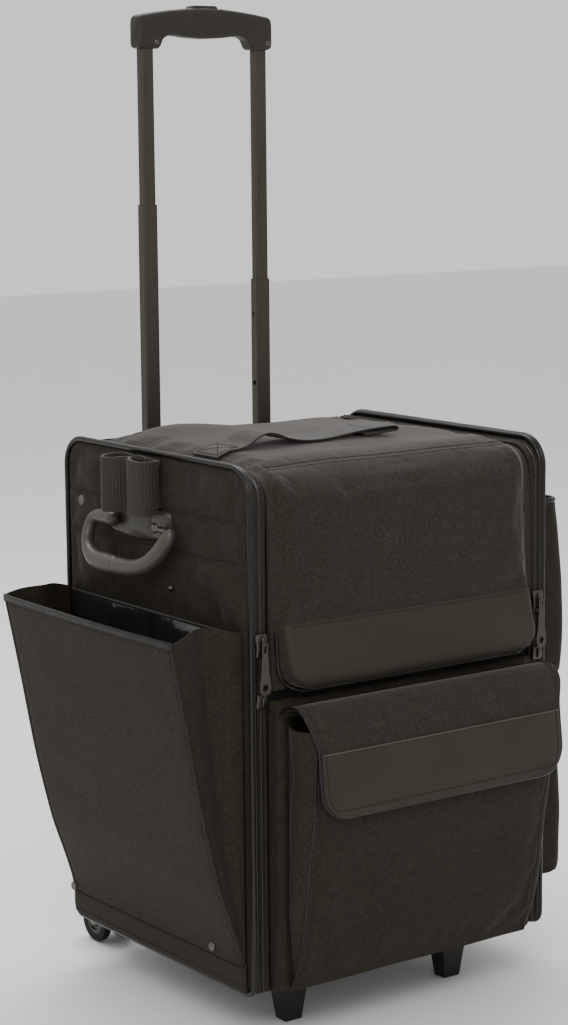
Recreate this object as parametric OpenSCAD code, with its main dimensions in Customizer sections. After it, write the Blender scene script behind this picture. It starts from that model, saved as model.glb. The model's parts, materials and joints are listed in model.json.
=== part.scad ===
// Rolling flight case: a boxy padded case on a two-stage trolley handle.
// Millimetres. +Z is up, the front faces -Y, the carrying handle is on the -X side.
// The origin is on the floor, under the middle of the whole object.

/* [Case] */
// Width of the case between the outer faces of its sides
case_w = 360; // [340:5:380]
// Depth of the case over its piped rims
case_d = 320; // [310:5:330]
// Height of the case over its piped rims
case_h = 500; // [490:5:510]
// Height of the case bottom above the floor
ground_gap = 52; // [50:1:56]
// Thickness of a padded side
side_t = 6; // [4:1:8]
// Radius of the corners of the sides
corner_r = 20; // [14:2:26]
// Radius of the piping round the sides
piping_r = 2.2; // [1.8:0.1:2.4]

/* [Lid and drop front] */
// Height of the lower edge of the lid's front above the case's datum level
lid_edge_z = 349; // [346:1:354]
// Height of the top edge of the drop front above the case's datum level
front_top_z = 340; // [334:1:341]
// Thickness of the lid's top
lid_t = 11; // [9:1:13]
// Width of the lid's carrying strap
strap_w = 42; // [30:2:50]

/* [Pockets] */
// Height of the mouth of the left pocket above its hinge seam
left_mouth_h = 315; // [300:5:320]
// How far the open left pocket stands out at its mouth
left_out = 75; // [70:1:80]
// How far the right pockets stand out
right_out = 43; // [36:1:46]
// Half the width of the front pocket
front_pocket_half = 143; // [130:1:146]
// Thickness of a pocket wall
cloth_t = 2.5; // [2:0.5:3]

/* [Trolley] */
// Distance between the two poles
pole_pitch = 140; // [120:2:150]
// How far the handle is pulled out of its lowest place
handle_out = 372; // [300:1:380]
// How far the left middle tube is pulled out
left_stage_out = 222; // [180:1:230]
// How far the right middle tube is pulled out
right_stage_out = 141; // [100:1:230]
// Width of the hand grip
grip_w = 164; // [160:2:172]
// Push of the release button
button_travel = 4; // [3:0.5:5]

/* [Wheels and feet] */
// Radius of a wheel
wheel_r = 23; // [20:1:24]
// Distance between the middles of the two wheel pairs
wheel_pitch = 225; // [200:5:240]
// Distance between the two front feet
foot_pitch = 200; // [170:5:210]

/* [Side handle] */
// Half the length of the handle's grip between its arms
side_handle_half = 66; // [60:1:70]
// Drop of the handle's grip below its pivot
side_handle_drop = 46; // [42:1:52]
// Lean of the hanging handle away from the side
side_handle_lean = 20; // [15:1:25]

/* [Hidden] */
$fn = 48;
eps = 0.1;
gap = 0.3;

half_w = case_w / 2;
half_d = case_d / 2;
// The case is written from a datum level this far under the floor.
floor_z = 6;
bottom_z = floor_z + ground_gap;
top_z = bottom_z + case_h;
binding_t = 3;
binding_out = 2.5;
left_seam = 3;
// The left pocket reaches further out than the right ones, so the case stands off the origin.
case_x = (left_seam + left_out + binding_out - right_out) / 2;
side_in = half_w - side_t;

// Sides and rims
piping_off = 2 * piping_r - gap;
side_edge = half_d - piping_off;
rim_in = side_in - 14;
rim_y = half_d - 2;
rim_top = top_z - 7;
zip_x = side_in - 4;
zip_w = 6;

// Base and rear
floor_t = 8;
rear_t = 8;
rear_y = half_d - 2;

// Lid
lid_half = rim_in - 1.5;
hinge_y = rear_y - rear_t + 2;
hinge_z = top_z - 9;
lid_in_z = top_z - 9 - lid_t;
lid_in_y = half_d - 3;

// Outer line of the lid's front, [stand-out from the case front, height]
lid_front = [[4, 536], [5, 476], [9, 430], [13, 412], [20, 385], [24, 370], [22, 358], [15, lid_edge_z]];
band_top_row = 3;

// Drop front and its pocket
drop_hinge_y = half_d - 4;
drop_hinge_z = bottom_z + 2;
drop_t = 12;
pocket_line = [[14, 64], [27, 98], [36, 140], [42, 187], [50, 235], [55, 300]];
flap_hinge = [12, 328];
flap_line = [[11, 327], [18, 334], [28, 338.5], [38, 339], [50, 334], [58, 322], [61, 305], [63, 285], [65, 262], [66, 238]];
flap_half = 153;
flap_r = 26;
flap_t = 3;

// Left pocket: hinge seam low on the side, lines run [stand-out, rise]
left_hinge_x = half_w + left_seam;
left_hinge_z = bottom_z + 30;
left_line = [[2.5, 0], [3, 8], [6, 20], [13.5, 43], [25, 76], [34, 110], [45, 158], [60, 239], [left_out, left_mouth_h]];
left_front_y = -148;
left_rear_y = 154;

// Right pockets, [stand-out, height]
upper_line = [[33, 311], [40, 318], [42.5, 340], [right_out, 370], [41.5, 400], [38.5, 430], [35, 460], [31, 490]];
lower_line = [[33, 105], [39, 113], [41, 150], [40, 190], [37, 230], [33, 262]];
right_half = 148;

// Trolley tubes
pole_x = pole_pitch / 2;
pole_y = half_d + 8;
outer_size = [19.6, 15.2];
middle_size = [17, 12.6];
inner_size = [14.8, 10.4];
tube_wall = [1.2, 1, 1];
tube_r = 2;
outer_bottom = 100;
outer_top = top_z - 16;
stage_low = outer_top + 20;
middle_len = 330;
grip_low_z = stage_low + 6;
grip_z = grip_low_z + handle_out;
grip_leg_h = 20;
grip_h = 40;
grip_t = 20;
inner_len = 287;
pin_rise = 11;
lock_hole_r = 2.4;

// Wheels
axle_y = half_d + 66 - wheel_r;
axle_z = floor_z + wheel_r;
axle_r = 3;
running = 0.05;
wheel_mid_x = wheel_pitch / 2;
tyre_w = 9;
tyre_gap = 20;
hub_r = 15;

// Side handle
handle_mid_y = 17;
handle_x = half_w + 11;
handle_z = top_z - 71;
handle_r = 9;
pivot_r = 3;

// Slider places
slider_z = 394;
slider_h = 23;
low_slider_z = 342;
low_slider_h = 14;
pull_len = 42;

// ---- Helpers -------------------------------------------------------------

// Puts a piece drawn about the case's own middle into the object's frame.
module at_case() translate([case_x, 0, -floor_z]) children();

// Extrudes a [y, z] outline along X between x0 and x1.
module along_x(x0, x1) translate([x0, 0, 0]) rotate([90, 0, 90]) linear_extrude(x1 - x0) children();

// Extrudes an [x, z] outline along Y between y0 and y1.
module along_y(y0, y1) translate([0, y1, 0]) rotate([90, 0, 0]) linear_extrude(y1 - y0) children();

module cylinder_x(r, x0, x1) translate([x0, 0, 0]) rotate([0, 90, 0]) cylinder(r = r, h = x1 - x0);
module cylinder_y(r, y0, y1) translate([0, y1, 0]) rotate([90, 0, 0]) cylinder(r = r, h = y1 - y0);

module block(lo, hi) translate(lo) cube(hi - lo);

module rounded(size, r) {
    square([size[0] - 2 * r, size[1]], center = true);
    square([size[0], size[1] - 2 * r], center = true);
    for (x = [-1, 1], y = [-1, 1]) translate([x * (size[0] / 2 - r), y * (size[1] / 2 - r)]) circle(r);
}

// Rounded [y, z] outline of a side, grown by g beyond the panel's own edge.
module side_outline(half_y, low, high, r) {
    translate([0, (low + high) / 2]) rounded([2 * half_y, high - low], r);
}

// A strip between an outer line and the same line moved in by t, both as [stand-out, height].
function strip(line, t) = concat(line, [for (i = [len(line) - 1:-1:0]) [line[i][0] - t, line[i][1]]]);

// Turns [stand-out, height] points into [y, z] on the front.
function on_front(line) = [for (p = line) [-half_d - p[0], p[1]]];

// ---- Case ----------------------------------------------------------------

module base_tray() at_case() color([0.16, 0.15, 0.14])
    block([-side_in, -half_d + 10, bottom_z], [side_in, rear_y - rear_t - eps, bottom_z + floor_t]);

module rear_panel() at_case() color([0.17, 0.16, 0.14])
    block([-side_in, rear_y - rear_t, bottom_z], [side_in, rear_y, hinge_z - 1]);

module side_panel(side) at_case() color([0.18, 0.16, 0.14])
    along_x(side > 0 ? side_in : -half_w, side > 0 ? half_w : -side_in)
        side_outline(side_edge, bottom_z + piping_off, top_z - piping_off, corner_r);

module side_panel_left() side_panel(-1);
module side_panel_right() side_panel(1);

// Cord that follows the rounded edge of each side.
module side_piping() at_case() color([0.12, 0.11, 0.1]) {
    r_turn = corner_r + piping_r + gap / 2;
    y_run = side_edge - corner_r;
    z_low = bottom_z + piping_off + corner_r;
    z_high = top_z - piping_off - corner_r;
    for (side = [-1, 1]) translate([side * (half_w - piping_r), 0, 0]) {
        for (y = [-1, 1]) translate([0, y * (y_run + r_turn), z_low]) cylinder(r = piping_r, h = z_high - z_low);
        for (z = [z_low - r_turn, z_high + r_turn]) translate([0, 0, z]) cylinder_y(piping_r, -y_run, y_run);
        for (y = [-1, 1], z = [-1, 1]) translate([0, y * y_run, z < 0 ? z_low : z_high])
            rotate([z > 0 ? 0 : 180, 0, 0]) rotate([0, 90, 0]) rotate([0, 0, y * z > 0 ? 90 : 180])
                rotate_extrude(angle = 90) translate([r_turn, 0]) circle(piping_r, $fn = 24);
    }
}

// Edge of the side that carries the zip, along the front and the top.
module rim_section(out) difference() {
    side_outline(rim_y + out, bottom_z - 20, rim_top + out, corner_r + out);
    side_outline(rim_y - binding_t, bottom_z - 30, rim_top - binding_t, corner_r - binding_t);
    translate([rear_y - rear_t - 1, 0]) square([100, 1000]);
    translate([-500, 0]) square([1000, bottom_z + 5]);
}

module zip_rims() at_case() color([0.13, 0.12, 0.11])
    for (side = [-1, 1]) along_x(side > 0 ? rim_in : -side_in + eps, side > 0 ? side_in - eps : -rim_in)
        rim_section(0);

module zip_chains() at_case() color([0.3, 0.28, 0.26])
    for (side = [-1, 1]) along_x(side * zip_x - zip_w / 2, side * zip_x + zip_w / 2) difference() {
        rim_section(1.8);
        side_outline(rim_y + eps, bottom_z - 20, rim_top + eps, corner_r + eps);
    }

// Stiff rail behind the joint between the lid's front and the drop front.
module front_rail() at_case() color([0.12, 0.11, 0.1])
    block([-side_in + eps, -half_d + 5.5, front_top_z - 10], [side_in - eps, -half_d + 11, lid_edge_z + 8]);

module lining() at_case() color([0.3, 0.3, 0.32]) difference() {
    block([-side_in + gap, -half_d + 12, bottom_z + floor_t + gap], [side_in - gap, rear_y - rear_t - gap, lid_in_z - 4]);
    block([-side_in + 1.8, -half_d, bottom_z + floor_t + 1.8], [side_in - 1.8, rear_y - rear_t - 1.8, top_z]);
}

module hinge_strip() at_case() color([0.13, 0.12, 0.11])
    block([-lid_half, hinge_y + 0.5, hinge_z - 0.8], [lid_half, rear_y, hinge_z + 0.4]);

// ---- Left side -----------------------------------------------------------

module side_band_left() at_case() color([0.17, 0.15, 0.14])
    block([-half_w - 1, -side_edge + 8, top_z - 93], [-half_w - eps, side_edge - 4, top_z - 53]);

module clear_sleeve() at_case() color([0.5, 0.5, 0.55, 0.4])
    block([-half_w - 1.4, -140, left_hinge_z + 4], [-half_w - 0.4, 148, left_hinge_z + left_mouth_h - 2]);

function on_left(line) = [for (p = line) [-left_hinge_x - p[0], left_hinge_z + p[1]]];

module left_pocket_panel() at_case() color([0.19, 0.17, 0.15]) {
    along_y(left_front_y, left_rear_y) polygon(on_left(strip(left_line, cloth_t)));
    // Bound edge of the mouth
    along_y(left_front_y, left_rear_y) translate([-left_hinge_x - left_out, left_hinge_z + left_mouth_h + binding_t / 2])
        square([2 * binding_out, binding_t], center = true);
}

// Folded end of the left pocket, with its mouth rising a little between the panels.
module left_gusset(y) at_case() color([0.17, 0.16, 0.14]) {
    inner = [for (i = [0:len(left_line) - 1]) [left_line[i][0] - cloth_t - 0.4, left_line[i][1]]];
    mouth = [[left_out - 16, left_mouth_h + 7], [2, left_mouth_h]];
    along_y(y, y + 2) polygon(concat(on_left(inner), on_left(mouth), [[-half_w - 1.6, left_hinge_z + left_mouth_h],
        [-half_w - 1.6, left_hinge_z]]));
}

module left_gusset_front() left_gusset(left_front_y - 2.3);
module left_gusset_rear() left_gusset(left_rear_y + gap);

module keeper_loop() at_case() color([0.16, 0.14, 0.13])
    translate([-half_w - 17.2, handle_mid_y + 2, top_z - 52.7]) linear_extrude(46) difference() {
        rounded([34, 68], 15);
        rounded([29, 63], 12.5);
    }

module handle_plate() at_case() color([0.2, 0.19, 0.18]) {
    z_mid = handle_z + 2;
    difference() {
        along_x(-half_w - 4, -half_w - 1.1) translate([handle_mid_y, z_mid]) rounded([105, 27], 6);
        for (y = [-1, 1]) translate([0, handle_mid_y + y * 29, z_mid]) cylinder_x(2.3, -half_w - 10, -half_w);
    }
    // Pivot ears at both ends, bored for the pins
    for (y = [-1, 1]) difference() {
        along_y(handle_mid_y + y * 49 - 3.5, handle_mid_y + y * 49 + 3.5) union() {
            translate([handle_x * -1, handle_z]) circle(8);
            translate([-handle_x, handle_z - 8]) square([handle_x - half_w - 1.1, 16]);
        }
        translate([-handle_x, 0, handle_z]) cylinder_y(pivot_r, handle_mid_y - 60, handle_mid_y + 60);
    }
}

module handle_screws() at_case() color([0.55, 0.53, 0.5])
    for (y = [-1, 1]) translate([0, handle_mid_y + y * 29, handle_z + 2]) {
        cylinder_x(2, -half_w - 4.1, -half_w - 1.2);
        cylinder_x(4, -half_w - 6, -half_w - 4.1);
    }

// Pins pressed in the plate's ears; the carrying handle turns on their free ends.
module handle_pins() at_case() color([0.6, 0.6, 0.6])
    for (y = [-1, 1]) translate([-handle_x, handle_mid_y + y * 53.5, handle_z]) cylinder_y(pivot_r, -8, 8);

// Moulded D-shaped handle, drawn in its own plane: u along Y, w down from the pivot.
module carry_handle() at_case() color([0.33, 0.3, 0.27])
    translate([-handle_x, handle_mid_y, handle_z]) rotate([0, side_handle_lean, 0]) {
        turn = 26;
        run = side_handle_half - turn;
        low = side_handle_drop;
        difference() {
            union() {
                translate([0, 0, -low]) cylinder_y(handle_r, -run, run);
                for (y = [-1, 1]) {
                    translate([0, y * run, turn - low]) rotate([0, 90, 0]) rotate([0, 0, y > 0 ? 0 : -90])
                        rotate_extrude(angle = 90) translate([turn, 0]) circle(handle_r);
                    translate([0, y * side_handle_half, turn - low]) cylinder(r = handle_r, h = low - turn);
                    translate([0, y * side_handle_half, 0]) sphere(handle_r);
                    translate([0, y * (side_handle_half - 6), 0]) cylinder_y(handle_r - 1, -7, 7);
                }
            }
            for (y = [-1, 1]) translate([0, y * 54.5, 0]) cylinder_y(pivot_r + running, -8, 8);
        }
    }

module rivets() at_case() color([0.5, 0.47, 0.42]) {
    for (p = [[130, top_z - 63, 5], [-36, top_z - 127, 3]]) translate([0, p[0], p[1]])
        cylinder_x(p[2], -half_w - 2.8, -half_w - (p[2] > 4 ? 1.1 : eps));
    for (y = [-101, 148]) translate([0, y, bottom_z + 21]) cylinder_x(4.5, -half_w - 2, -half_w - eps);
}

// ---- Right side ----------------------------------------------------------

function on_right(line) = [for (p = line) [half_w + p[0], p[1]]];
function grow(line, t) = [for (p = line) [p[0] - t, p[1]]];

module right_pocket(line) at_case() color([0.19, 0.17, 0.15]) {
    low = line[0][1];
    high = line[len(line) - 1][1];
    difference() {
        along_y(-right_half, right_half)
            polygon(concat([[half_w + 0.2, low]], on_right(line), [[half_w + 0.2, high]]));
        along_y(-right_half + cloth_t, right_half - cloth_t)
            polygon(concat([[half_w + 2, low + cloth_t]],
                on_right([for (i = [0:len(line) - 1]) [line[i][0] - cloth_t, i == 0 ? low + cloth_t : line[i][1]]]),
                [[half_w + line[len(line) - 1][0] - cloth_t, high + 5], [half_w + 2, high + 5]]));
    }
}

module right_upper_pocket() right_pocket(upper_line);
module right_lower_pocket() right_pocket(lower_line);

// ---- Stand, wheels and trolley -------------------------------------------

module front_stand() at_case() color([0.15, 0.14, 0.13]) {
    foot_h = 46;
    bar_low = 42;
    bar_half = foot_pitch / 2 + 15;
    bar_top = bottom_z - 0.2;
    // Bar with an arched lower edge
    along_y(-118, -92) difference() {
        translate([-bar_half, bar_low]) square([2 * bar_half, bar_top - bar_low]);
        translate([0, bar_top - 7 - 400]) circle(400, $fn = 96);
    }
    for (side = [-1, 1]) translate([side * foot_pitch / 2, -105, 0]) intersection() {
        along_y(-20, 20) polygon([[-9.5, floor_z], [9.5, floor_z], [15, foot_h], [-15, foot_h]]);
        along_x(-20, 20) polygon([[-8, floor_z], [8, floor_z], [12, foot_h], [-12, foot_h]]);
    }
}

// Moulding across the rear: foot of the tubes, one arm and a hood over each pair of wheels.
module trolley_base() at_case() color([0.14, 0.13, 0.12]) {
    base_y = rear_y + 0.2;
    difference() {
        block([-wheel_mid_x - 22, base_y, bottom_z + 4], [wheel_mid_x + 22, base_y + 22, outer_bottom + 10]);
        for (side = [-1, 1]) translate([side * pole_x, pole_y, outer_bottom]) linear_extrude(40)
            rounded(outer_size + [0.2, 0.2], tube_r);
    }
    for (side = [-1, 1]) {
        x = side * wheel_mid_x;
        difference() {
            along_x(x - 4, x + 4) union() {
                translate([axle_y, axle_z]) circle(9);
                polygon([[base_y, bottom_z + 4 + eps], [base_y, bottom_z + 32], [base_y + 30, bottom_z + 22],
                    [axle_y + 9, axle_z], [axle_y - 9, axle_z], [axle_y - 20, axle_z + 22]]);
            }
            translate([0, axle_y, axle_z]) cylinder_x(axle_r + running, x - 10, x + 10);
        }
        along_x(x - tyre_gap / 2 - tyre_w - 1, x + tyre_gap / 2 + tyre_w + 1) difference() {
            translate([axle_y, axle_z]) circle(wheel_r + 5.5);
            translate([axle_y, axle_z]) circle(wheel_r + 3);
            translate([axle_y - 60, axle_z - 52]) square([120, 60]);
            translate([axle_y + wheel_r - 0.5, 0]) square([20, 100]);
        }
    }
}

module tyres(side) at_case() color([0.1, 0.1, 0.1])
    for (s = [-1, 1]) translate([side * wheel_mid_x + s * (tyre_gap + tyre_w) / 2, axle_y, axle_z])
        rotate([0, 90, 0]) rotate_extrude() difference() {
            translate([hub_r, 0]) union() {
                translate([0, -tyre_w / 2]) square([wheel_r - hub_r - 2, tyre_w]);
                translate([0, -tyre_w / 2 + 2]) square([wheel_r - hub_r, tyre_w - 4]);
                for (z = [-1, 1]) translate([wheel_r - hub_r - 2, z * (tyre_w / 2 - 2)]) circle(2);
            }
            translate([-1, -tyre_w]) square([1 + hub_r, 2 * tyre_w]);
        }

module tyres_left() tyres(-1);
module tyres_right() tyres(1);

module hubs(side) at_case() color([0.3, 0.3, 0.3])
    for (s = [-1, 1]) translate([side * wheel_mid_x + s * (tyre_gap + tyre_w) / 2, axle_y, axle_z])
        difference() {
            cylinder_x(hub_r - 0.05, -tyre_w / 2 + 0.5, tyre_w / 2 - 0.5);
            cylinder_x(axle_r, -tyre_w, tyre_w);
            cylinder_x(11, side * s > 0 ? side * 2.5 - (side < 0 ? 6 : 0) : -20, side * s > 0 ? side * 2.5 + (side < 0 ? 0 : 6) : -19);
        }

module hubs_left() hubs(-1);
module hubs_right() hubs(1);

// Axle with a domed silver cap on its outer end
module axle(side) at_case() color([0.75, 0.74, 0.7]) translate([side * wheel_mid_x, axle_y, axle_z]) {
    end = tyre_gap / 2 + tyre_w;
    cylinder_x(axle_r, -end + 0.6, end - 0.6);
    rotate([0, side * 90, 0]) translate([0, 0, end - 0.6]) cylinder(r1 = 7, r2 = 5.5, h = 2.4);
}

module axle_left() axle(-1);
module axle_right() axle(1);

// One rectangular tube, open at both ends.
module tube(side, size, wall, low, high) at_case() translate([side * pole_x, pole_y, low])
    linear_extrude(high - low) difference() {
        rounded(size, tube_r);
        rounded(size - [2 * wall, 2 * wall], tube_r - 0.8);
    }

module outer_tube(side) color([0.18, 0.17, 0.16]) tube(side, outer_size, tube_wall[0], outer_bottom + 0.2, outer_top);
module outer_tube_left() outer_tube(-1);
module outer_tube_right() outer_tube(1);

module tube_collar() at_case() color([0.14, 0.13, 0.12]) difference() {
    block([-pole_x - 16, rear_y + 0.2, outer_top - 18], [pole_x + 16, pole_y + 11, outer_top - eps]);
    for (side = [-1, 1]) translate([side * pole_x, pole_y, outer_top - 30]) linear_extrude(60)
        rounded(outer_size + [0.2, 0.2], tube_r);
}

module middle_tube(side, out) color([0.22, 0.2, 0.18]) {
    high = stage_low + out;
    difference() {
        tube(side, middle_size, tube_wall[1], high - middle_len, high);
        at_case() for (drop = [37, 110]) translate([side * (pole_x - middle_size[0] / 2), pole_y, high - drop])
            cylinder_x(lock_hole_r, -2, 2);
    }
}

module middle_tube_left() middle_tube(-1, left_stage_out);
module middle_tube_right() middle_tube(1, right_stage_out);

pin_z = stage_low + right_stage_out - 37;

module inner_tube(side) color([0.22, 0.2, 0.18]) difference() {
    tube(side, inner_size, tube_wall[2], grip_z - inner_len, grip_z + grip_leg_h - 4);
    at_case() translate([side * (pole_x - inner_size[0] / 2), pole_y, pin_z]) cylinder_x(lock_hole_r, -2, 2);
}

module inner_tube_left() inner_tube(-1);
module inner_tube_right() inner_tube(1);

// Bright pins that lock the stages, just inside the middle tubes.
module lock_pins() at_case() color([0.85, 0.85, 0.85])
    for (side = [-1, 1]) translate([side * (pole_x - 5.5), pole_y, pin_z]) cylinder_x(lock_hole_r - 0.2, -1.95, 1.95);

// Hand grip: two sockets for the tubes and a bar with a full belly, hollow for the button's rods.
module grip() at_case() color([0.2, 0.18, 0.16]) {
    half = grip_w / 2;
    leg_in = pole_x - 14;
    z_top = grip_z + grip_h;
    difference() {
        along_y(pole_y - grip_t / 2, pole_y + grip_t / 2) difference() {
            polygon([[-half, grip_z], [-half + 1, z_top - 8], [-half + 8, z_top - 3], [-40, z_top], [-20, z_top + 2],
                [20, z_top + 2], [40, z_top], [half - 8, z_top - 3], [half - 1, z_top - 8], [half, grip_z],
                [leg_in, grip_z], [leg_in - 4, grip_z + 9], [leg_in - 14, grip_z + 14], [30, grip_z + 12], [0, grip_z + 10.5],
                [-30, grip_z + 12], [14 - leg_in, grip_z + 14], [4 - leg_in, grip_z + 9], [-leg_in, grip_z]]);
        }
        for (side = [-1, 1]) translate([side * pole_x, pole_y, grip_z - 1]) linear_extrude(grip_leg_h)
            rounded(inner_size + [0.1, 0.1], tube_r);
        // Room for the rods and their cross bar, and the button's well
        for (side = [-1, 1]) translate([side * pole_x, pole_y, grip_z]) cylinder(r = 3, h = grip_leg_h + 6);
        block([-pole_x - 4, pole_y - 4, grip_z + 16], [pole_x + 4, pole_y + 4, grip_z + 27]);
        block([-17.4, pole_y - 7.4, grip_z + 16], [17.4, pole_y + 7.4, z_top + 5]);
    }
}

module grip_screws() at_case() color([0.7, 0.7, 0.7])
    for (x = [-pole_x + 8, pole_x + 8]) translate([x, pole_y - grip_t / 2, grip_z + 7]) cylinder_y(2.6, -1.2, -eps);

module release_button() at_case() color([0.24, 0.22, 0.2])
    along_y(pole_y - 7, pole_y + 7)
        polygon([[-17, grip_z + 21.5], [17, grip_z + 21.5], [17, grip_z + grip_h + 4.5], [12, grip_z + grip_h + 5],
            [5, grip_z + grip_h + 2.6], [-5, grip_z + grip_h + 2.6], [-12, grip_z + grip_h + 5], [-17, grip_z + grip_h + 4.5]]);

// Cross bar and two rods that pass the button's push down to the lock pins.
module release_rods() at_case() color([0.6, 0.6, 0.6]) {
    block([-pole_x - 3, pole_y - 3, grip_z + 21.4 - 1], [pole_x + 3, pole_y + 3, grip_z + 21.4]);
    for (side = [-1, 1]) translate([side * pole_x, pole_y, pin_z + 8]) cylinder(r = 1.6, h = grip_z + 21 - pin_z - 8);
}

// ---- Lid -----------------------------------------------------------------

module lid_panel() at_case() color([0.32, 0.3, 0.31])
    along_x(-lid_half, lid_half)
        polygon(concat([[hinge_y - 2, lid_in_z], [hinge_y - 2, hinge_z], [110, hinge_z + 3.5], [50, hinge_z + 6.5],
            [-20, hinge_z + 7], [-90, hinge_z + 5.5], [-136, hinge_z + 3], [-152, hinge_z - 2], [-160, hinge_z - 8]],
            on_front(lid_front), [[-lid_in_y, lid_edge_z], [-lid_in_y, lid_in_z]]));

// Smooth band sewn over the lower part of the lid's front
module lid_band() at_case() color([0.2, 0.18, 0.14])
    along_x(-lid_half + 8, lid_half - 8)
        polygon(on_front([for (p = strip([for (i = [band_top_row:len(lid_front) - 2]) lid_front[i]], 1.3)) p + [1.4, 0]]));

module lid_piping() at_case() color([0.4, 0.37, 0.32])
    translate([0, -half_d - 14, lid_edge_z - 2]) cylinder_x(1.8, -lid_half + 26, lid_half - 26);

// Carrying strap: flat at both ends, humped between them so a hand goes under.
module lid_strap() at_case() color([0.26, 0.25, 0.25]) {
    z = hinge_z + 7.4;
    under = [[-148, 0], [-124, 0], [-112, 3], [-101, 9], [-90, 12], [-80, 10.5], [-66, 5.5], [-50, 1.5], [-34, 0],
        [-10, 0], [4, 1.5], [20, 3.5], [40, 6], [56, 7.5], [66, 7.5]];
    along_y(-66, -66 + strap_w) translate([0, z])
        polygon(concat(under, [for (i = [len(under) - 1:-1:0]) under[i] + [0, cloth_t]]));
}

// ---- Drop front ----------------------------------------------------------

module front_panel() at_case() color([0.17, 0.15, 0.13])
    along_x(-lid_half, lid_half)
        polygon([[-drop_hinge_y, drop_hinge_z + 1], [-drop_hinge_y, front_top_z], [-drop_hinge_y - drop_t, front_top_z],
            [-drop_hinge_y - drop_t, drop_hinge_z + 6], [-drop_hinge_y - drop_t + 5, drop_hinge_z + 1]]);

// Outer sheet of the front pocket
module front_pocket() at_case() color([0.17, 0.15, 0.13])
    along_x(-front_pocket_half, front_pocket_half) polygon(on_front(strip(pocket_line, cloth_t)));

module front_gusset(x) at_case() color([0.14, 0.13, 0.12]) {
    inner = [for (p = pocket_line) [p[0] - cloth_t - 0.3, p[1]]];
    face = drop_t - 4 + 0.4;
    along_x(x, x + 2) polygon(on_front(concat(inner, [[face, pocket_line[len(pocket_line) - 1][1]], [face, pocket_line[0][1]]])));
}

module front_gusset_left() front_gusset(-front_pocket_half + 1);
module front_gusset_right() front_gusset(front_pocket_half - 3);

module pocket_flap() at_case() color([0.25, 0.22, 0.2]) {
    low = flap_line[len(flap_line) - 1][1];
    high = 345;
    inner = [for (i = [len(flap_line) - 1:-1:0]) let (
        a = flap_line[max(i - 1, 0)], b = flap_line[min(i + 1, len(flap_line) - 1)], d = b - a, n = norm(d))
        flap_line[i] + flap_t * [d[1], -d[0]] / n];
    intersection() {
        along_x(-flap_half, flap_half) polygon(on_front(concat(flap_line, inner)));
        // Rounded lower corners
        along_y(-half_d - 90, -half_d + 10) union() {
            translate([-flap_half, low + flap_r]) square([2 * flap_half, high - low - flap_r]);
            translate([-flap_half + flap_r, low - 2]) square([2 * (flap_half - flap_r), flap_r + 4]);
            for (side = [-1, 1]) translate([side * (flap_half - flap_r), low + flap_r]) circle(flap_r);
        }
    }
}

// ---- Zip sliders ---------------------------------------------------------

slider_y = half_d + 0.2;

module slider(side, z, h) at_case() color([0.35, 0.33, 0.3]) translate([side * zip_x, -slider_y, z]) {
    along_x(-4.5, 4.5) polygon([[0, -h / 2], [0, h / 2], [-3.5, h / 2], [-4.5, 2], [-3.5, -h / 2]]);
}

module slider_upper(side) {
    difference() {
        slider(side, slider_z, slider_h);
        at_case() translate([side * zip_x, -slider_y - 4.5, slider_z - 4]) block([-2.2, -5, -5], [2.2, 3, 5]);
    }
    // Bridge that the pull hangs from
    at_case() color([0.6, 0.58, 0.54]) translate([side * zip_x, -slider_y - 3.4, slider_z - 1]) cylinder_x(1, -2.3, 2.3);
}

module slider_upper_left() slider_upper(-1);
module slider_upper_right() slider_upper(1);
module slider_lower_left() slider(-1, low_slider_z, low_slider_h);
module slider_lower_right() slider(1, low_slider_z, low_slider_h);

// Pull tab: a tapered plate with an eye at the top and a hole near its end
module pull(side) at_case() color([0.4, 0.37, 0.33]) translate([side * zip_x, -slider_y - 7.2, slider_z - 1])
    along_y(-0.9, 0.9) difference() {
        union() {
            polygon([[-2.6, 3], [2.6, 3], [3.2, -pull_len + 12], [4.6, -pull_len + 2], [3, -pull_len - 2],
                [-3, -pull_len - 2], [-4.6, -pull_len + 2], [-3.2, -pull_len + 12]]);
        }
        translate([0, -pull_len + 5]) circle(2.2);
    }

module pull_left() pull(-1);
module pull_right() pull(1);

base_tray();
rear_panel();
side_panel_left();
side_panel_right();
side_piping();
zip_rims();
zip_chains();
front_rail();
lining();
hinge_strip();
side_band_left();
clear_sleeve();
left_gusset_front();
left_gusset_rear();
left_pocket_panel();
right_upper_pocket();
right_lower_pocket();
keeper_loop();
handle_plate();
handle_screws();
handle_pins();
carry_handle();
rivets();
front_stand();
trolley_base();
tyres_left();
tyres_right();
hubs_left();
hubs_right();
axle_left();
axle_right();
outer_tube_left();
outer_tube_right();
tube_collar();
middle_tube_left();
middle_tube_right();
inner_tube_left();
inner_tube_right();
lock_pins();
grip();
grip_screws();
release_button();
release_rods();
lid_panel();
lid_band();
lid_piping();
lid_strap();
front_panel();
front_pocket();
front_gusset_left();
front_gusset_right();
pocket_flap();
slider_upper_left();
slider_upper_right();
slider_lower_left();
slider_lower_right();
pull_left();
pull_right();
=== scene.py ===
"""Looks of a rolling flight case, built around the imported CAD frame.

Points are written in millimetres about the case's own middle plane (x = 0 is the middle of the
drop front), and go to the row frame in metres through to_row().
"""
import json
import math

import bmesh
import bpy
import numpy as np
from mathutils import Matrix, Vector


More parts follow.
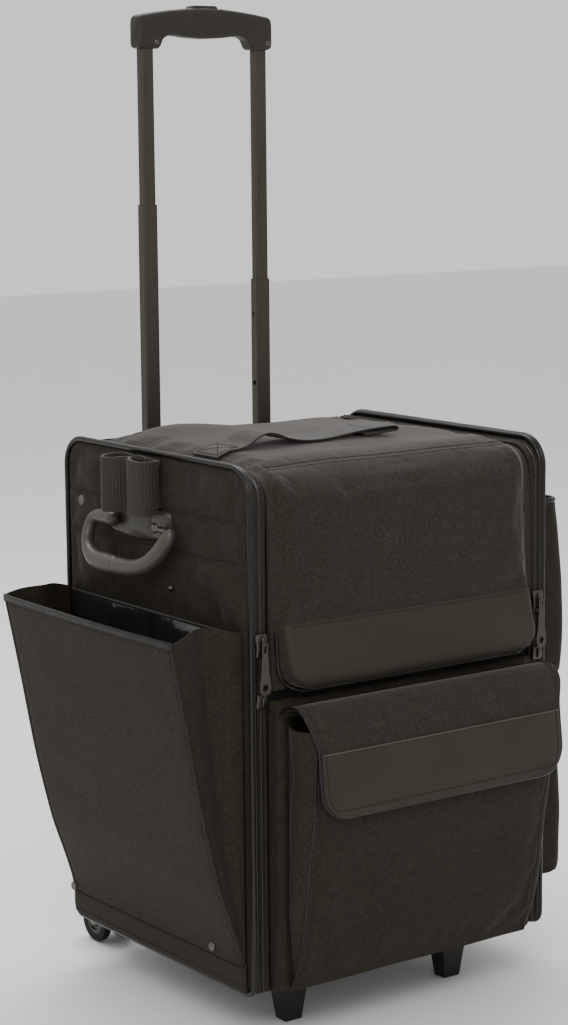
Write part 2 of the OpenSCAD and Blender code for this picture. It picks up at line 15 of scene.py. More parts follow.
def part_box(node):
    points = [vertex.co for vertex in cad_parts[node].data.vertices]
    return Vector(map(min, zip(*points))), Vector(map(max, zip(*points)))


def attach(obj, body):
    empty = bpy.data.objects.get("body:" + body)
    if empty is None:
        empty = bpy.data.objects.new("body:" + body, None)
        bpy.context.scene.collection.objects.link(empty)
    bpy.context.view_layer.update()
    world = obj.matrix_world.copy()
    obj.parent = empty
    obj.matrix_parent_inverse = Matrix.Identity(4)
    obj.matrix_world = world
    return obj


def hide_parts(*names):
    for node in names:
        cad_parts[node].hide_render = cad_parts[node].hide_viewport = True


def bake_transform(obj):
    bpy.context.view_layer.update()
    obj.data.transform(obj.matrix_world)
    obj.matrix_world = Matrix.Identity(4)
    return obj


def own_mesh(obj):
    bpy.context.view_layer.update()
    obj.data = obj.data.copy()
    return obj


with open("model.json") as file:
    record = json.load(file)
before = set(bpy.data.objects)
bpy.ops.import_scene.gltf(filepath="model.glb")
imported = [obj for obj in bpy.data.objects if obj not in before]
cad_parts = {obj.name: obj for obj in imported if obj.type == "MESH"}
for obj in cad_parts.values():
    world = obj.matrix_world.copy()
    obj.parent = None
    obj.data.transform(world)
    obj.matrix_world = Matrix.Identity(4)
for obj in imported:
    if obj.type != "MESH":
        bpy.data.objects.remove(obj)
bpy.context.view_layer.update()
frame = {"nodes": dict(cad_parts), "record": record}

MM = 0.001
low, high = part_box("front_panel")
CASE_X = (low.x + high.x) / 2
PANEL_LOW_Z = 0.061     # the drop front's lower edge above the case's datum level
CASE_Z = low.z - PANEL_LOW_Z


def case_box(node):
    """A CAD node's corners in case millimetres."""
    lo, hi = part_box(node)
    shift = Vector((CASE_X, 0, CASE_Z))
    return (lo - shift) / MM, (hi - shift) / MM


# ---------------------------------------------------------------- points and meshes

def to_row(points):
    return np.asarray(points, float) * MM + np.array([CASE_X, 0, CASE_Z])


def xyz(x, y, z):
    """Points from coordinates of any shapes that fit each other."""
    return np.stack(np.broadcast_arrays(x, y, z), -1)


def noise3(p, scale, seed=0):
    """Smooth value noise from -1 to 1 at points in millimetres; scale is its grain, one number or three."""
    q = np.asarray(p, float) / np.asarray(scale, float) + seed * 17.137
    cell = np.floor(q)
    f = q - cell
    f = f * f * (3 - 2 * f)
    total = 0
    for dx in (0, 1):
        for dy in (0, 1):
            for dz in (0, 1):
                c = cell + np.array([dx, dy, dz])
                v = np.sin(c[..., 0] * 127.1 + c[..., 1] * 311.7 + c[..., 2] * 74.7) * 43758.5453
                w = (np.where(dx, f[..., 0], 1 - f[..., 0]) * np.where(dy, f[..., 1], 1 - f[..., 1])
                     * np.where(dz, f[..., 2], 1 - f[..., 2]))
                total = total + w * (v - np.floor(v))
    return 2 * total - 1


def smooth(x, a, b):
    t = np.clip((np.asarray(x, float) - a) / (b - a), 0, 1)
    return t * t * (3 - 2 * t)


def rolled(inside, width):
    """From 0 at an edge to 1 at width inside it, as a quarter round."""
    return np.sqrt(1 - (1 - np.clip(inside / width, 0, 1)) ** 2)


def bump(x, mid, half):
    """A smooth hill of height 1 at mid."""
    return np.exp(-((np.asarray(x, float) - mid) / half) ** 2)


def lengths(p):
    return np.concatenate([[0], np.cumsum(np.linalg.norm(np.diff(p, axis=0), axis=1))])


def even(p, n):
    s = lengths(p)
    at = np.linspace(0, s[-1], n)
    return np.stack([np.interp(at, s, p[:, k]) for k in range(p.shape[1])], 1)


def along(keys, n):
    """Curve points by key number instead of by length, so two lines with as many keys stay in step."""
    k = np.asarray(keys, float)
    ext = np.vstack([2 * k[0] - k[1], k, 2 * k[-1] - k[-2]])
    t = np.asarray(n, float)
    i = np.clip(t.astype(int), 0, len(k) - 2)
    u = (t - i)[:, None]
    a, b, c, d = ext[i], ext[i + 1], ext[i + 2], ext[i + 3]
    return 0.5 * (2 * b + (c - a) * u + (2 * a - 5 * b + 4 * c - d) * u ** 2 + (3 * b - a - 3 * c + d)
                  * u ** 3)


def curve(keys, n):
    """n points evenly spaced along a Catmull-Rom line through keys."""
    return even(along(keys, np.linspace(0, len(keys) - 1, 40 * len(keys))), n)


def ticks(lo, hi, step, *close):
    """Numbers from lo to hi about step apart, closer round each (place, half width, step) in close."""
    at = list(np.linspace(lo, hi, max(2, int(round((hi - lo) / step)) + 1)))
    for place, half, fine in close:
        at += list(np.arange(max(lo, place - half), min(hi, place + half) + 1e-6, fine))
    at = np.unique(np.round(at, 4))
    keep = [at[0]]
    for a in at[1:]:
        if a - keep[-1] > min(0.25, 0.05 * step):
            keep.append(a)
    keep[-1] = at[-1]
    return np.array(keep)


MATERIALS = {}


def piece(name, verts, faces, body, slot, replaces=(), auto=40, skin=None):
    """Makes one object that rides on a body; verts are in case millimetres, skin is its own material."""
    mesh = bpy.data.meshes.new(name)
    mesh.from_pydata([tuple(p) for p in to_row(verts)], [], [tuple(int(i) for i in f) for f in faces])
    bm = bmesh.new()
    bm.from_mesh(mesh)
    bmesh.ops.remove_doubles(bm, verts=bm.verts, dist=2e-6)
    bmesh.ops.dissolve_degenerate(bm, edges=bm.edges, dist=1e-6)
    bmesh.ops.recalc_face_normals(bm, faces=bm.faces)
    bm.to_mesh(mesh)
    bm.free()
    obj = bpy.data.objects.new(name, mesh)
    bpy.context.scene.collection.objects.link(obj)
    mesh.shade_smooth()
    if auto:
        mesh.set_sharp_from_angle(angle=math.radians(auto))
    mesh.materials.append(skin or MATERIALS[slot])
    if body:
        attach(obj, body)
    for n in replaces:
        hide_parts(n)
    return obj


def grid_faces(nu, nv, start=0, wrap=False):
    f = []
    for i in range(nu if wrap else nu - 1):
        j0 = i * nv
        j1 = ((i + 1) % nu) * nv
        for j in range(nv - 1):
            f.append((start + j0 + j, start + j1 + j, start + j1 + j + 1, start + j0 + j + 1))
    return f


def mirrored(line):
    """A line that ends at x = 0, carried on to the other side."""
    return np.vstack([line, (line * ([-1] + [1] * (line.shape[1] - 1)))[::-1][1:]])


def slab_mesh(a, b):
    """Closed mesh between two grids of the same size."""
    nu, nv = a.shape[:2]
    n = nu * nv
    faces = grid_faces(nu, nv) + [f[::-1] for f in grid_faces(nu, nv, n)]
    edge = ([i * nv for i in range(nu)] + [(nu - 1) * nv + j for j in range(1, nv)]
            + [i * nv + nv - 1 for i in range(nu - 2, -1, -1)] + [j for j in range(nv - 2, 0, -1)])
    for k, p in enumerate(edge):
        q = edge[(k + 1) % len(edge)]
        faces.append((p, q, q + n, p + n))
    return np.vstack([a.reshape(-1, 3), b.reshape(-1, 3)]), faces


def normals(a):
    du = np.gradient(a, axis=0)
    dv = np.gradient(a, axis=1)
    n = np.cross(du, dv)
    size = np.linalg.norm(n, axis=2, keepdims=True)
    return n / np.maximum(size, 1e-9)


def facing(a, out):
    """Normals of a grid, turned so that on the whole they point along out."""
    n = normals(a)
    return n if (n * np.asarray(out, float)).sum() > 0 else -n


def slab(name, a, thick, body, slot, out=(0, -1, 0), **kw):
    """A sheet behind the outer grid a, of even thickness or down to a second grid; out points outward."""
    b = thick if isinstance(thick, np.ndarray) else a - facing(a, out) * thick
    v, f = slab_mesh(a, b)
    return piece(name, v, f, body, slot, **kw)


def frames(path, ref, closed=False):
    if closed:
        t = np.roll(path, -1, 0) - np.roll(path, 1, 0)
    else:
        t = np.gradient(path, axis=0)
    t = t / np.maximum(np.linalg.norm(t, axis=1, keepdims=True), 1e-9)
    r = np.broadcast_to(np.asarray(ref, float), path.shape)
    n = r - (r * t).sum(1, keepdims=True) * t
    n = n / np.maximum(np.linalg.norm(n, axis=1, keepdims=True), 1e-9)
    return t, n, np.cross(t, n)


def loft(rings, closed=False):
    """Points and faces of a tube through rings of points, with flat ends unless it is closed on itself."""
    rings = np.asarray(rings, float)
    m, c = rings.shape[:2]
    faces = []
    for i in range(m if closed else m - 1):
        j = (i + 1) % m
        for k in range(c):
            e = (k + 1) % c
            faces.append((i * c + k, j * c + k, j * c + e, i * c + e))
    if not closed:
        faces.append(tuple(range(c))[::-1])
        faces.append(tuple((m - 1) * c + k for k in range(c)))
    return rings.reshape(-1, 3), faces


def sweep_mesh(path, section, ref, closed=False, scale=None):
    """Section points (a along ref, b across) carried along a path."""
    path = np.asarray(path, float)
    t, n, b = frames(path, ref, closed)
    sec = np.asarray(section, float)
    k = np.ones(len(path)) if scale is None else np.asarray(scale, float)
    v = path[:, None] + (sec[None, :, 0:1] * n[:, None] + sec[None, :, 1:2] * b[:, None]) * k[:, None, None]
    return loft(v, closed)


def sweep(name, path, section, ref, body, slot, closed=False, scale=None, **kw):
    v, f = sweep_mesh(path, section, ref, closed, scale)
    return piece(name, v, f, body, slot, **kw)


def oval(a, b, n=14, power=1.0):
    t = np.linspace(0, 2 * math.pi, n, endpoint=False)
    c, s = np.cos(t), np.sin(t)
    return np.stack([a * np.sign(c) * abs(c) ** power, b * np.sign(s) * abs(s) ** power], 1)


def rounded_line(half_a, lo, hi, r, n=10):
    """Points (a, b) round a rounded rectangle, closed, counter-clockwise from the low middle."""
    pts = []
    low_r, high_r = r if isinstance(r, tuple) else (r, r)
    for ca, cb, r, t0 in ((half_a - low_r, lo + low_r, low_r, -90), (half_a - high_r, hi - high_r, high_r, 0),
                          (-half_a + high_r, hi - high_r, high_r, 90),
                          (-half_a + low_r, lo + low_r, low_r, 180)):
        for k in range(n + 1):
            t = math.radians(t0 + 90 * k / n)
            pts.append((ca + r * math.cos(t), cb + r * math.sin(t)))
    return np.array([(0, lo)] + pts)


class Bits:
    """Many small parts gathered in one mesh."""

    def __init__(self):
        self.v, self.f, self.n = [], [], 0

    def add(self, v, f):
        self.v.append(np.asarray(v, float))
        self.f += [tuple(i + self.n for i in face) for face in f]
        self.n += len(v)

    def rods(self, centres, axis, half, r, up, sides=6):
        """Short rounded rods at centres, lying along axis."""
        ring = oval(1, 1, sides)
        for c, a, u in zip(centres, axis, up):
            a = a / np.linalg.norm(a)
            u = u - a * np.dot(u, a)
            u = u / max(np.linalg.norm(u), 1e-9)
            w = np.cross(a, u)
            v = []
            for t, k in ((-1, 0.35), (-0.7, 1), (0.7, 1), (1, 0.35)):
                v.append(c + a * half * t + (ring[:, :1] * u * r + ring[:, 1:] * w * r) * k)
            v = np.vstack(v)
            f = [(q * sides + s, q * sides + (s + 1) % sides, (q + 1) * sides + (s + 1) % sides,
                  (q + 1) * sides + s) for q in range(3) for s in range(sides)]
            f += [tuple(range(sides))[::-1], tuple(3 * sides + s for s in range(sides))]
            self.add(v, f)

    def stitches(self, path, up, pitch=3.4, length=2.5, r=0.38, lift=0.15):
        path = np.asarray(path, float)
        total = lengths(path)[-1]
        n = max(2, int(total / pitch))
        p = even(path, n + 1)
        mid = (p[1:] + p[:-1]) / 2
        up = np.asarray(up, float)
        if up.ndim == 1:
            up = np.broadcast_to(up, mid.shape)
        else:
            up = even(up, n)
        self.rods(mid + up * lift, p[1:] - p[:-1], length / 2, r, up, 5)

    def make(self, name, body, slot, **kw):
        return piece(name, np.vstack(self.v), self.f, body, slot, **kw)


# ---------------------------------------------------------------- materials

class Nodes:
    def __init__(self, name):
        self.m = bpy.data.materials.new(name)
        self.m.use_nodes = True
        self.t = self.m.node_tree
        self.t.nodes.clear()
        self.out = self.t.nodes.new("ShaderNodeOutputMaterial")
        self.b = self.t.nodes.new("ShaderNodeBsdfPrincipled")
        self.t.links.new(self.b.outputs[0], self.out.inputs[0])
        self.co = self.t.nodes.new("ShaderNodeTexCoord")

    def node(self, kind, **sockets):
        n = self.t.nodes.new(kind)
        for k, v in sockets.items():
            self.put(n, k, v)
        return n

    def put(self, n, key, v):
        s = n.inputs[int(key[1:])] if key[0] == "i" and key[1:].isdigit() else n.inputs[key.replace("_", " ")]
        if isinstance(v, bpy.types.NodeSocket):
            self.t.links.new(v, s)
        elif v is not None:
            s.default_value = v

    def math(self, op, a, b=0.0, c=0.0, clamp=False):
        n = self.t.nodes.new("ShaderNodeMath")
        n.operation = op
        n.use_clamp = clamp
        for i, v in enumerate((a, b, c)):
            self.put(n, "i%d" % i, v)
        return n.outputs[0]

    def vmath(self, op, a, b=None, scale=None):
        n = self.t.nodes.new("ShaderNodeVectorMath")
        n.operation = op
        self.put(n, "i0", a)
        if b is not None:
            self.put(n, "i1", b)
        if scale is not None:
            n.inputs["Scale"].default_value = scale
        return n.outputs[0]

    def noise(self, scale, detail=2.0, rough=0.5, vector=None, stretch=None):
        v = vector or self.co.outputs["Object"]
        if stretch:
            v = self.vmath("MULTIPLY", v, stretch)
        n = self.node("ShaderNodeTexNoise", Vector=v, Scale=scale, Detail=detail, Roughness=rough)
        return n.outputs[0]

    def ramp(self, fac, *stops):
        n = self.t.nodes.new("ShaderNodeValToRGB")
        e = n.color_ramp.elements
        while len(e) < len(stops):
            e.new(0.5)
        for el, (p, c) in zip(e, stops):
            el.position = p
            el.color = (c, c, c, 1) if isinstance(c, (int, float)) else (*c, 1)
        self.put(n, "Fac", fac)
        return n.outputs[0]

    def mix(self, fac, a, b):
        n = self.t.nodes.new("ShaderNodeMix")
        n.data_type = "RGBA"
        for k, v in ((0, fac), (6, a), (7, b)):
            if isinstance(v, bpy.types.NodeSocket):
                self.t.links.new(v, n.inputs[k])
            else:
                n.inputs[k].default_value = v if k == 0 else (*v, 1)
        return n.outputs[2]

    def bump(self, height, distance, strength=1.0, under=None):
        n = self.node("ShaderNodeBump", Height=height, Distance=distance, Strength=strength)
        if under is not None:
            self.t.links.new(under, n.inputs["Normal"])
        return n.outputs[0]

    def weave(self, pitch, jitter=0.35):
        """Plain weave on whichever plane the surface faces, 0 to 1."""
        p = self.co.outputs["Object"]
        wob = self.node("ShaderNodeTexNoise", Vector=p, Scale=60.0, Detail=1.0)
        p = self.vmath("ADD", p, self.vmath("SCALE", wob.outputs[1], scale=pitch * jitter))
        s = self.t.nodes.new("ShaderNodeSeparateXYZ")
        self.t.links.new(self.vmath("SINE", self.vmath("SCALE", p, scale=math.pi / pitch)), s.inputs[0])
        w = self.t.nodes.new("ShaderNodeSeparateXYZ")
        n = self.vmath("ABSOLUTE", self.co.outputs["Normal"])
        n = self.vmath("MULTIPLY", n, n)
        n = self.vmath("MULTIPLY", n, n)
        self.t.links.new(n, w.inputs[0])
        x, y, z = s.outputs
        wx, wy, wz = w.outputs
        top = self.math("ADD", self.math("ADD", self.math("MULTIPLY", wx, self.math("MULTIPLY", y, z)),
                                         self.math("MULTIPLY", wy, self.math("MULTIPLY", x, z))),
                        self.math("MULTIPLY", wz, self.math("MULTIPLY", x, y)))
        total = self.math("ADD", self.math("ADD", wx, wy), wz)
        return self.math("MULTIPLY_ADD", self.math("DIVIDE", top, total), 0.5, 0.5)

    def finish(self, color=None, rough=None, normal=None, **plain):
        for k, v in (("Base Color", color), ("Roughness", rough), ("Normal", normal)):
            if v is not None:
                if k == "Base Color" and not isinstance(v, bpy.types.NodeSocket):
                    v = (*v, 1)
                if isinstance(v, bpy.types.NodeSocket):
                    self.t.links.new(v, self.b.inputs[k])
                else:
                    self.b.inputs[k].default_value = v
        for k, v in plain.items():
            self.b.inputs[k.replace("_", " ")].default_value = v
        return self.m


def shade(c, k):
    return tuple(min(1, x * k) for x in c)


def fabric(name, color, pitch=0.0013, depth=0.00025, sheen=0.06, tint=(0.8, 0.8, 0.85), rough=0.8,
           fleck=0.25):
    n = Nodes(name)
    w = n.weave(pitch, 0.9)
    wide = n.noise(9.0, 3.0, 0.6)
    fine = n.noise(620.0, 3.0, 0.8)
    slub = n.noise(240.0, 3.0, 0.75)
    lint = n.ramp(n.noise(380.0, 1.0), (0.68, 0.0), (0.76, 1.0))
    c = n.mix(w, shade(color, 0.82), shade(color, 1.12))
    c = n.mix(n.ramp(wide, (0.3, 0.0), (0.75, 1.0)), c, shade(color, 1.18))
    c = n.mix(n.ramp(slub, (0.38, 0.65), (0.62, 0.0)), c, shade(color, 0.6))
    c = n.mix(n.ramp(fine, (0.5, 0.0), (0.68, 0.9)), c, shade(color, 2.3))
    c = n.mix(n.math("MULTIPLY", lint, fleck), c, shade(color, 3.2))
    h = n.math("ADD", n.math("MULTIPLY", w, 0.6), n.math("MULTIPLY", slub, 0.9))
    soft = n.bump(n.noise(34.0, 2.0), 0.0018, 0.35)
    r = n.math("MULTIPLY_ADD", w, -0.1, rough + 0.05)
    m = n.finish(c, r, n.bump(h, depth, 0.8, soft), Sheen_Weight=sheen, Sheen_Roughness=0.4,
                 Sheen_Tint=(*tint, 1), Specular_IOR_Level=0.14)
    return m


def leather(name, color, rough=0.42):
    n = Nodes(name)
    v = n.node("ShaderNodeTexVoronoi", Vector=n.co.outputs["Object"], Scale=900.0)
    v.feature = "DISTANCE_TO_EDGE"
    cell = n.ramp(v.outputs["Distance"], (0.0, 0.0), (0.18, 1.0))
    wide = n.noise(14.0, 3.0, 0.6)
    fine = n.noise(260.0, 3.0, 0.6)
    c = n.mix(cell, shade(color, 0.7), color)
    c = n.mix(n.ramp(wide, (0.3, 0.0), (0.8, 1.0)), c, shade(color, 1.18))
    r = n.math("MULTIPLY_ADD", fine, 0.22, rough - 0.08)
    h = n.math("ADD", n.math("MULTIPLY", cell, 0.5), fine)
    return n.finish(c, r, n.bump(h, 0.00022, 0.6, n.bump(n.noise(40.0, 2.0), 0.0012, 0.3)),
                    Specular_IOR_Level=0.22, Sheen_Weight=0.04)


def plastic(name, color, rough=0.45, grain=0.00006, grain_scale=1500.0, wear=1.35, **extra):
    n = Nodes(name)
    wide = n.noise(22.0, 3.0, 0.6)
    fine = n.noise(grain_scale, 2.0, 0.6)
    scuff = n.ramp(n.noise(90.0, 4.0, 0.7, stretch=(1, 1, 0.25)), (0.56, 0.0), (0.72, 1.0))
    c = n.mix(n.ramp(wide, (0.3, 0.0), (0.75, 1.0)), shade(color, 0.92), shade(color, 1.08))
    c = n.mix(n.math("MULTIPLY", scuff, 0.25), c, shade(color, wear))
    r = n.math("ADD", n.math("MULTIPLY_ADD", scuff, 0.12, rough - 0.04), n.math("MULTIPLY", fine, 0.08))
    return n.finish(c, r, n.bump(fine, grain, 0.7), **extra)


def metal(name, color, rough=0.35, metallic=1.0, brushed=(1, 1, 0.02), dirt=0.5):
    n = Nodes(name)
    line = n.noise(900.0, 2.0, 0.6, stretch=brushed)
    wide = n.noise(30.0, 3.0, 0.6)
    spots = n.ramp(n.noise(120.0, 5.0, 0.75), (0.58, 0.0), (0.7, 1.0))
    c = n.mix(n.ramp(line, (0.3, 0.0), (0.7, 1.0)), shade(color, 0.85), shade(color, 1.1))
    c = n.mix(n.math("MULTIPLY", spots, dirt), c, shade(color, 0.55))
    r = n.math("ADD", n.math("MULTIPLY_ADD", line, 0.14, rough - 0.07), n.math("MULTIPLY", wide, 0.06))
    return n.finish(c, r, n.bump(line, 0.00003, 0.4), Metallic=metallic)


def webbing(name, color, pitch=0.0021):
    n = Nodes(name)
    s = n.t.nodes.new("ShaderNodeSeparateXYZ")
    n.t.links.new(n.co.outputs["Object"], s.inputs[0])
    w = n.weave(pitch, 0.15)
    fine = n.noise(800.0, 2.0, 0.7)
    c = n.mix(w, shade(color, 0.6), shade(color, 1.25))
    c = n.mix(n.ramp(n.noise(16.0, 3.0), (0.3, 0.0), (0.8, 1.0)), c, shade(color, 1.12))
    h = n.math("ADD", w, n.math("MULTIPLY", fine, 0.3))
    return n.finish(c, n.math("MULTIPLY_ADD", fine, 0.1, 0.62), n.bump(h, 0.0003, 0.9), Sheen_Weight=0.15,
                    Sheen_Roughness=0.4, Specular_IOR_Level=0.2)


def vinyl(name, color):
    n = Nodes(name)
    wav = n.noise(26.0, 3.0, 0.5)
    fine = n.noise(140.0, 2.0, 0.5)
    h = n.math("ADD", wav, n.math("MULTIPLY", fine, 0.004))
    m = n.finish(n.mix(n.ramp(n.noise(11.0, 2.0), (0.3, 0.0), (0.8, 1.0)), shade(color, 0.7), color),
                 n.math("MULTIPLY_ADD", fine, 0.05, 0.1), n.bump(h, 0.006, 0.6),
                 Alpha=0.8, Specular_IOR_Level=0.45, Coat_Weight=0.15, Coat_Roughness=0.12)
    return m


def cord_skin(name, color, rough=0.32, gloss=0.3):
    n = Nodes(name)
    fine = n.noise(500.0, 2.0, 0.6)
    wide = n.noise(18.0, 3.0, 0.6)
    c = n.mix(n.ramp(wide, (0.3, 0.0), (0.75, 1.0)), shade(color, 0.85), shade(color, 1.15))
    return n.finish(c, n.math("MULTIPLY_ADD", fine, 0.15, rough - 0.05), n.bump(fine, 0.0001, 0.5),
                    Specular_IOR_Level=gloss)


BODY_TONE = (0.0182, 0.0144, 0.0096)
MATERIALS.update({
    "body_fabric": fabric("body_fabric", BODY_TONE),
    "lid_fabric": fabric("lid_fabric", (0.0205, 0.0166, 0.0118), sheen=0.2, tint=(0.92, 0.85, 0.86)),
    "leatherette": leather("leatherette", (0.0235, 0.0182, 0.0105), 0.52),
    "piping": cord_skin("piping", (0.0078, 0.0068, 0.0059), 0.28),
    "webbing": webbing("webbing", (0.026, 0.0218, 0.0175)),
    "lining": fabric("lining", (0.009, 0.009, 0.01), pitch=0.0009, depth=0.0001, sheen=0.04, rough=0.6),
    "clear_vinyl": vinyl("clear_vinyl", (0.018, 0.0175, 0.021)),
    "rail": plastic("rail", (0.006, 0.0055, 0.005), 0.6, Specular_IOR_Level=0.25),
    "moulded_plastic": plastic("moulded_plastic", (0.0095, 0.0083, 0.0072), 0.48, Specular_IOR_Level=0.3),
    "grip_plastic": plastic("grip_plastic", (0.0225, 0.0188, 0.0145), 0.5, Specular_IOR_Level=0.25),
    "soft_rubber": plastic("soft_rubber", (0.046, 0.0385, 0.0295), 0.38, wear=1.3, Specular_IOR_Level=0.4),
    "tube_metal": metal("tube_metal", (0.046, 0.037, 0.0275), 0.4, 0.55),
    "tyre": plastic("tyre", (0.008, 0.0078, 0.0075), 0.75, 0.00015, 900.0, Specular_IOR_Level=0.25),
    "hub": plastic("hub", (0.016, 0.015, 0.0135), 0.45, Specular_IOR_Level=0.35),
    "zip_metal": metal("zip_metal", (0.07, 0.062, 0.053), 0.36, 0.9, (1, 1, 1), 0.7),
    "bright_metal": metal("bright_metal", (0.125, 0.112, 0.096), 0.34, 1.0, (1, 1, 1), 0.6), })
thread = plastic("thread", (0.022, 0.019, 0.016), 0.7, 0.0001, 1800.0, Specular_IOR_Level=0.2)
coil_skin = plastic("coil_skin", (0.0155, 0.0138, 0.012), 0.36, Specular_IOR_Level=0.4)
light_cord = cord_skin("light_cord", (0.06, 0.05, 0.036), 0.5)
shield_skin = plastic("shield_skin", (0.029, 0.0243, 0.0192), 0.38, wear=1.3, Specular_IOR_Level=0.4)


# ---------------------------------------------------------------- simulated cloth

CLOTH_FRAMES = 20


def cloth_field(us, vs, surface, held, out, pressure=5.0, loose=0.02, cap=5.0):
    """How far, in mm, cloth laid on surface(u, v) moves when it is blown up against its held points."""
    u, v = np.meshgrid(us, vs, indexing="ij")
    start = surface(u, v)
    faces = grid_faces(len(us), len(vs))
    if (normals(start) * np.asarray(out, float)).sum() < 0:
        faces = [f[::-1] for f in faces]
    mesh = bpy.data.meshes.new("cloth")
    mesh.from_pydata([tuple(p) for p in start.reshape(-1, 3) * MM], [], faces)
    obj = bpy.data.objects.new("cloth", mesh)
    bpy.context.scene.collection.objects.link(obj)
    group = obj.vertex_groups.new(name="held")
    for i, w in enumerate(np.asarray(held(u, v), float).reshape(-1)):
        if w > 0.01:
            group.add([i], float(w), "REPLACE")
    mod = obj.modifiers.new("Cloth", "CLOTH")
    c = mod.settings
    c.quality = 6
    c.mass = 0.25
    c.vertex_group_mass = "held"
    c.use_pressure = True
    c.uniform_pressure_force = pressure
    c.shrink_min = -loose
    c.effector_weights.gravity = 0
    mod.collision_settings.use_self_collision = False
    mod.point_cache.frame_start, mod.point_cache.frame_end = 1, CLOTH_FRAMES
    scene = bpy.context.scene
    for k in range(1, CLOTH_FRAMES + 1):
        scene.frame_set(k)
    done = obj.evaluated_get(bpy.context.evaluated_depsgraph_get()).data
    moved = np.array([tuple(p.co) for p in done.vertices]).reshape(start.shape) / MM - start
    bpy.data.objects.remove(obj)
    scene.frame_set(1)
    size = np.linalg.norm(moved, axis=2, keepdims=True)
    return moved * np.minimum(1, cap / np.maximum(size, 1e-6))


def sampled(us, vs, field, u, v):
    """A field given on the lattice us by vs, read at any u and v."""
    i = np.clip(np.interp(u, us, np.arange(len(us))), 0, len(us) - 1.001)
    j = np.clip(np.interp(v, vs, np.arange(len(vs))), 0, len(vs) - 1.001)
    i0, j0 = i.astype(int), j.astype(int)
    fi, fj = (i - i0)[..., None], (j - j0)[..., None]
    return ((1 - fi) * (1 - fj) * field[i0, j0] + fi * (1 - fj) * field[i0 + 1, j0]
            + (1 - fi) * fj * field[i0, j0 + 1] + fi * fj * field[i0 + 1, j0 + 1])


# ---------------------------------------------------------------- case body

SIDE_Y, SIDE_LOW, SIDE_HIGH = 156.6, 61.4, 554.6
R_TOP, R_FOOT = 26.0, 10.0      # the sides' upper and lower corners
HANDLE_Y = 17.0                 # the carrying handle's middle


def corner_map(a, b, half_a, lo, hi, r):
    """Bends a rectangle's corners in to a rounded rectangle."""
    mid, half_b = (lo + hi) / 2, (hi - lo) / 2
    if isinstance(r, tuple):
        r = np.where(b > mid, r[1], r[0])
    sa, sb = np.sign(a), np.sign(b - mid)
    s = np.clip((abs(a) - (half_a - r)) / r, 0, 1)
    t = np.clip((abs(b - mid) - (half_b - r)) / r, 0, 1)
    a2 = np.where((s > 0) & (t > 0), sa * (half_a - r + r * s * np.sqrt(1 - t * t / 2)), a)
    b2 = np.where((s > 0) & (t > 0), mid + sb * (half_b - r + r * t * np.sqrt(1 - s * s / 2)), b)
    return a2, b2


def edge_distance(a, b, half_a, lo, hi, r):
    """How far inside a rounded rectangle a point is."""
    mid, half_b = (lo + hi) / 2, (hi - lo) / 2
    if isinstance(r, tuple):
        r = np.where(b > mid, r[1], r[0])
    qa, qb = abs(a) - (half_a - r), abs(b - mid) - (half_b - r)
    out = np.hypot(np.maximum(qa, 0), np.maximum(qb, 0)) + np.minimum(np.maximum(qa, qb), 0)
    return r - out


def side_relief(side, y, z):
    """How far the padded side stands out beyond its edge plane."""
    d = edge_distance(y, z, SIDE_Y, SIDE_LOW, SIDE_HIGH, (R_FOOT, R_TOP))
    p = xyz(0, y, z)
    h = 3.4 * rolled(d, 14) + 1.6 * smooth(d, 10, 90)
    h = h + 0.5 * noise3(p, (1, 60, 45), 3)
    if side < 0:
        # Diagonal folds above the pocket's front end, and puckers along the front seam
        run = (y + 150) * 0.74 + (z - 402) * 0.67
        across = -(y + 150) * 0.67 + (z - 402) * 0.74
        h = h + 4.2 * bump(across, 4, 14) * smooth(run, 0, 30) * (1 - smooth(run, 70, 120))
        h = h - 2.8 * bump(across, -22, 10) * smooth(run, 0, 30) * (1 - smooth(run, 60, 100))
        h = h - 2.4 * bump(across, 30, 11) * smooth(run, 0, 30) * (1 - smooth(run, 60, 110))
        h = h + 0.9 * noise3(p, (1, 16, 9), 5) * bump(y, -149, 9) * smooth(z, 430, 470)
        # Seams of the sewn-on band
        for seam in (505, 466):
            h = h - 0.9 * bump(z, seam, 1.6)
        # Held flat behind the open pocket and its clear sleeve
        h = h - 2.9 * smooth(-z, -412, -396) * smooth(d, 4, 22)
    h = h * smooth(d, -0.5, 2.5)
    return h


SIDE_YS, SIDE_ZS = np.linspace(-SIDE_Y, SIDE_Y, 61), np.linspace(SIDE_LOW, SIDE_HIGH, 93)


def side_base(side, y, z):
    h = side_relief(side, y, z)
    return xyz(side * (176.0 + h), y, z)


def side_held(side, y, z):
    d = edge_distance(y, z, SIDE_Y, SIDE_LOW, SIDE_HIGH, (R_FOOT, R_TOP))
    held = 1 - smooth(d, 4, 9)
    if side < 0:
        held = np.maximum(held, np.maximum(bump(z, 505, 4), bump(z, 466, 4)))
        held = np.maximum(held, bump(y, HANDLE_Y, 60) * bump(z, 487, 20))
        held = np.maximum(held, smooth(-z, -412, -400))
    return held


SIDE_CLOTH = {}
for side in (-1, 1):
    SIDE_CLOTH[side] = cloth_field(SIDE_YS, SIDE_ZS, lambda y, z: side_base(side, y, z),
                                   lambda y, z: side_held(side, y, z), (side, 0, 0),
                                   pressure=4.0, loose=0.018, cap=3.0)


def side_point(side, y, z, extra=0.0):
    y, z = np.broadcast_arrays(np.asarray(y, float), np.asarray(z, float))
    p = side_base(side, y, z) + sampled(SIDE_YS, SIDE_ZS, SIDE_CLOTH[side], y, z)
    p[..., 0] += side * extra
    return p


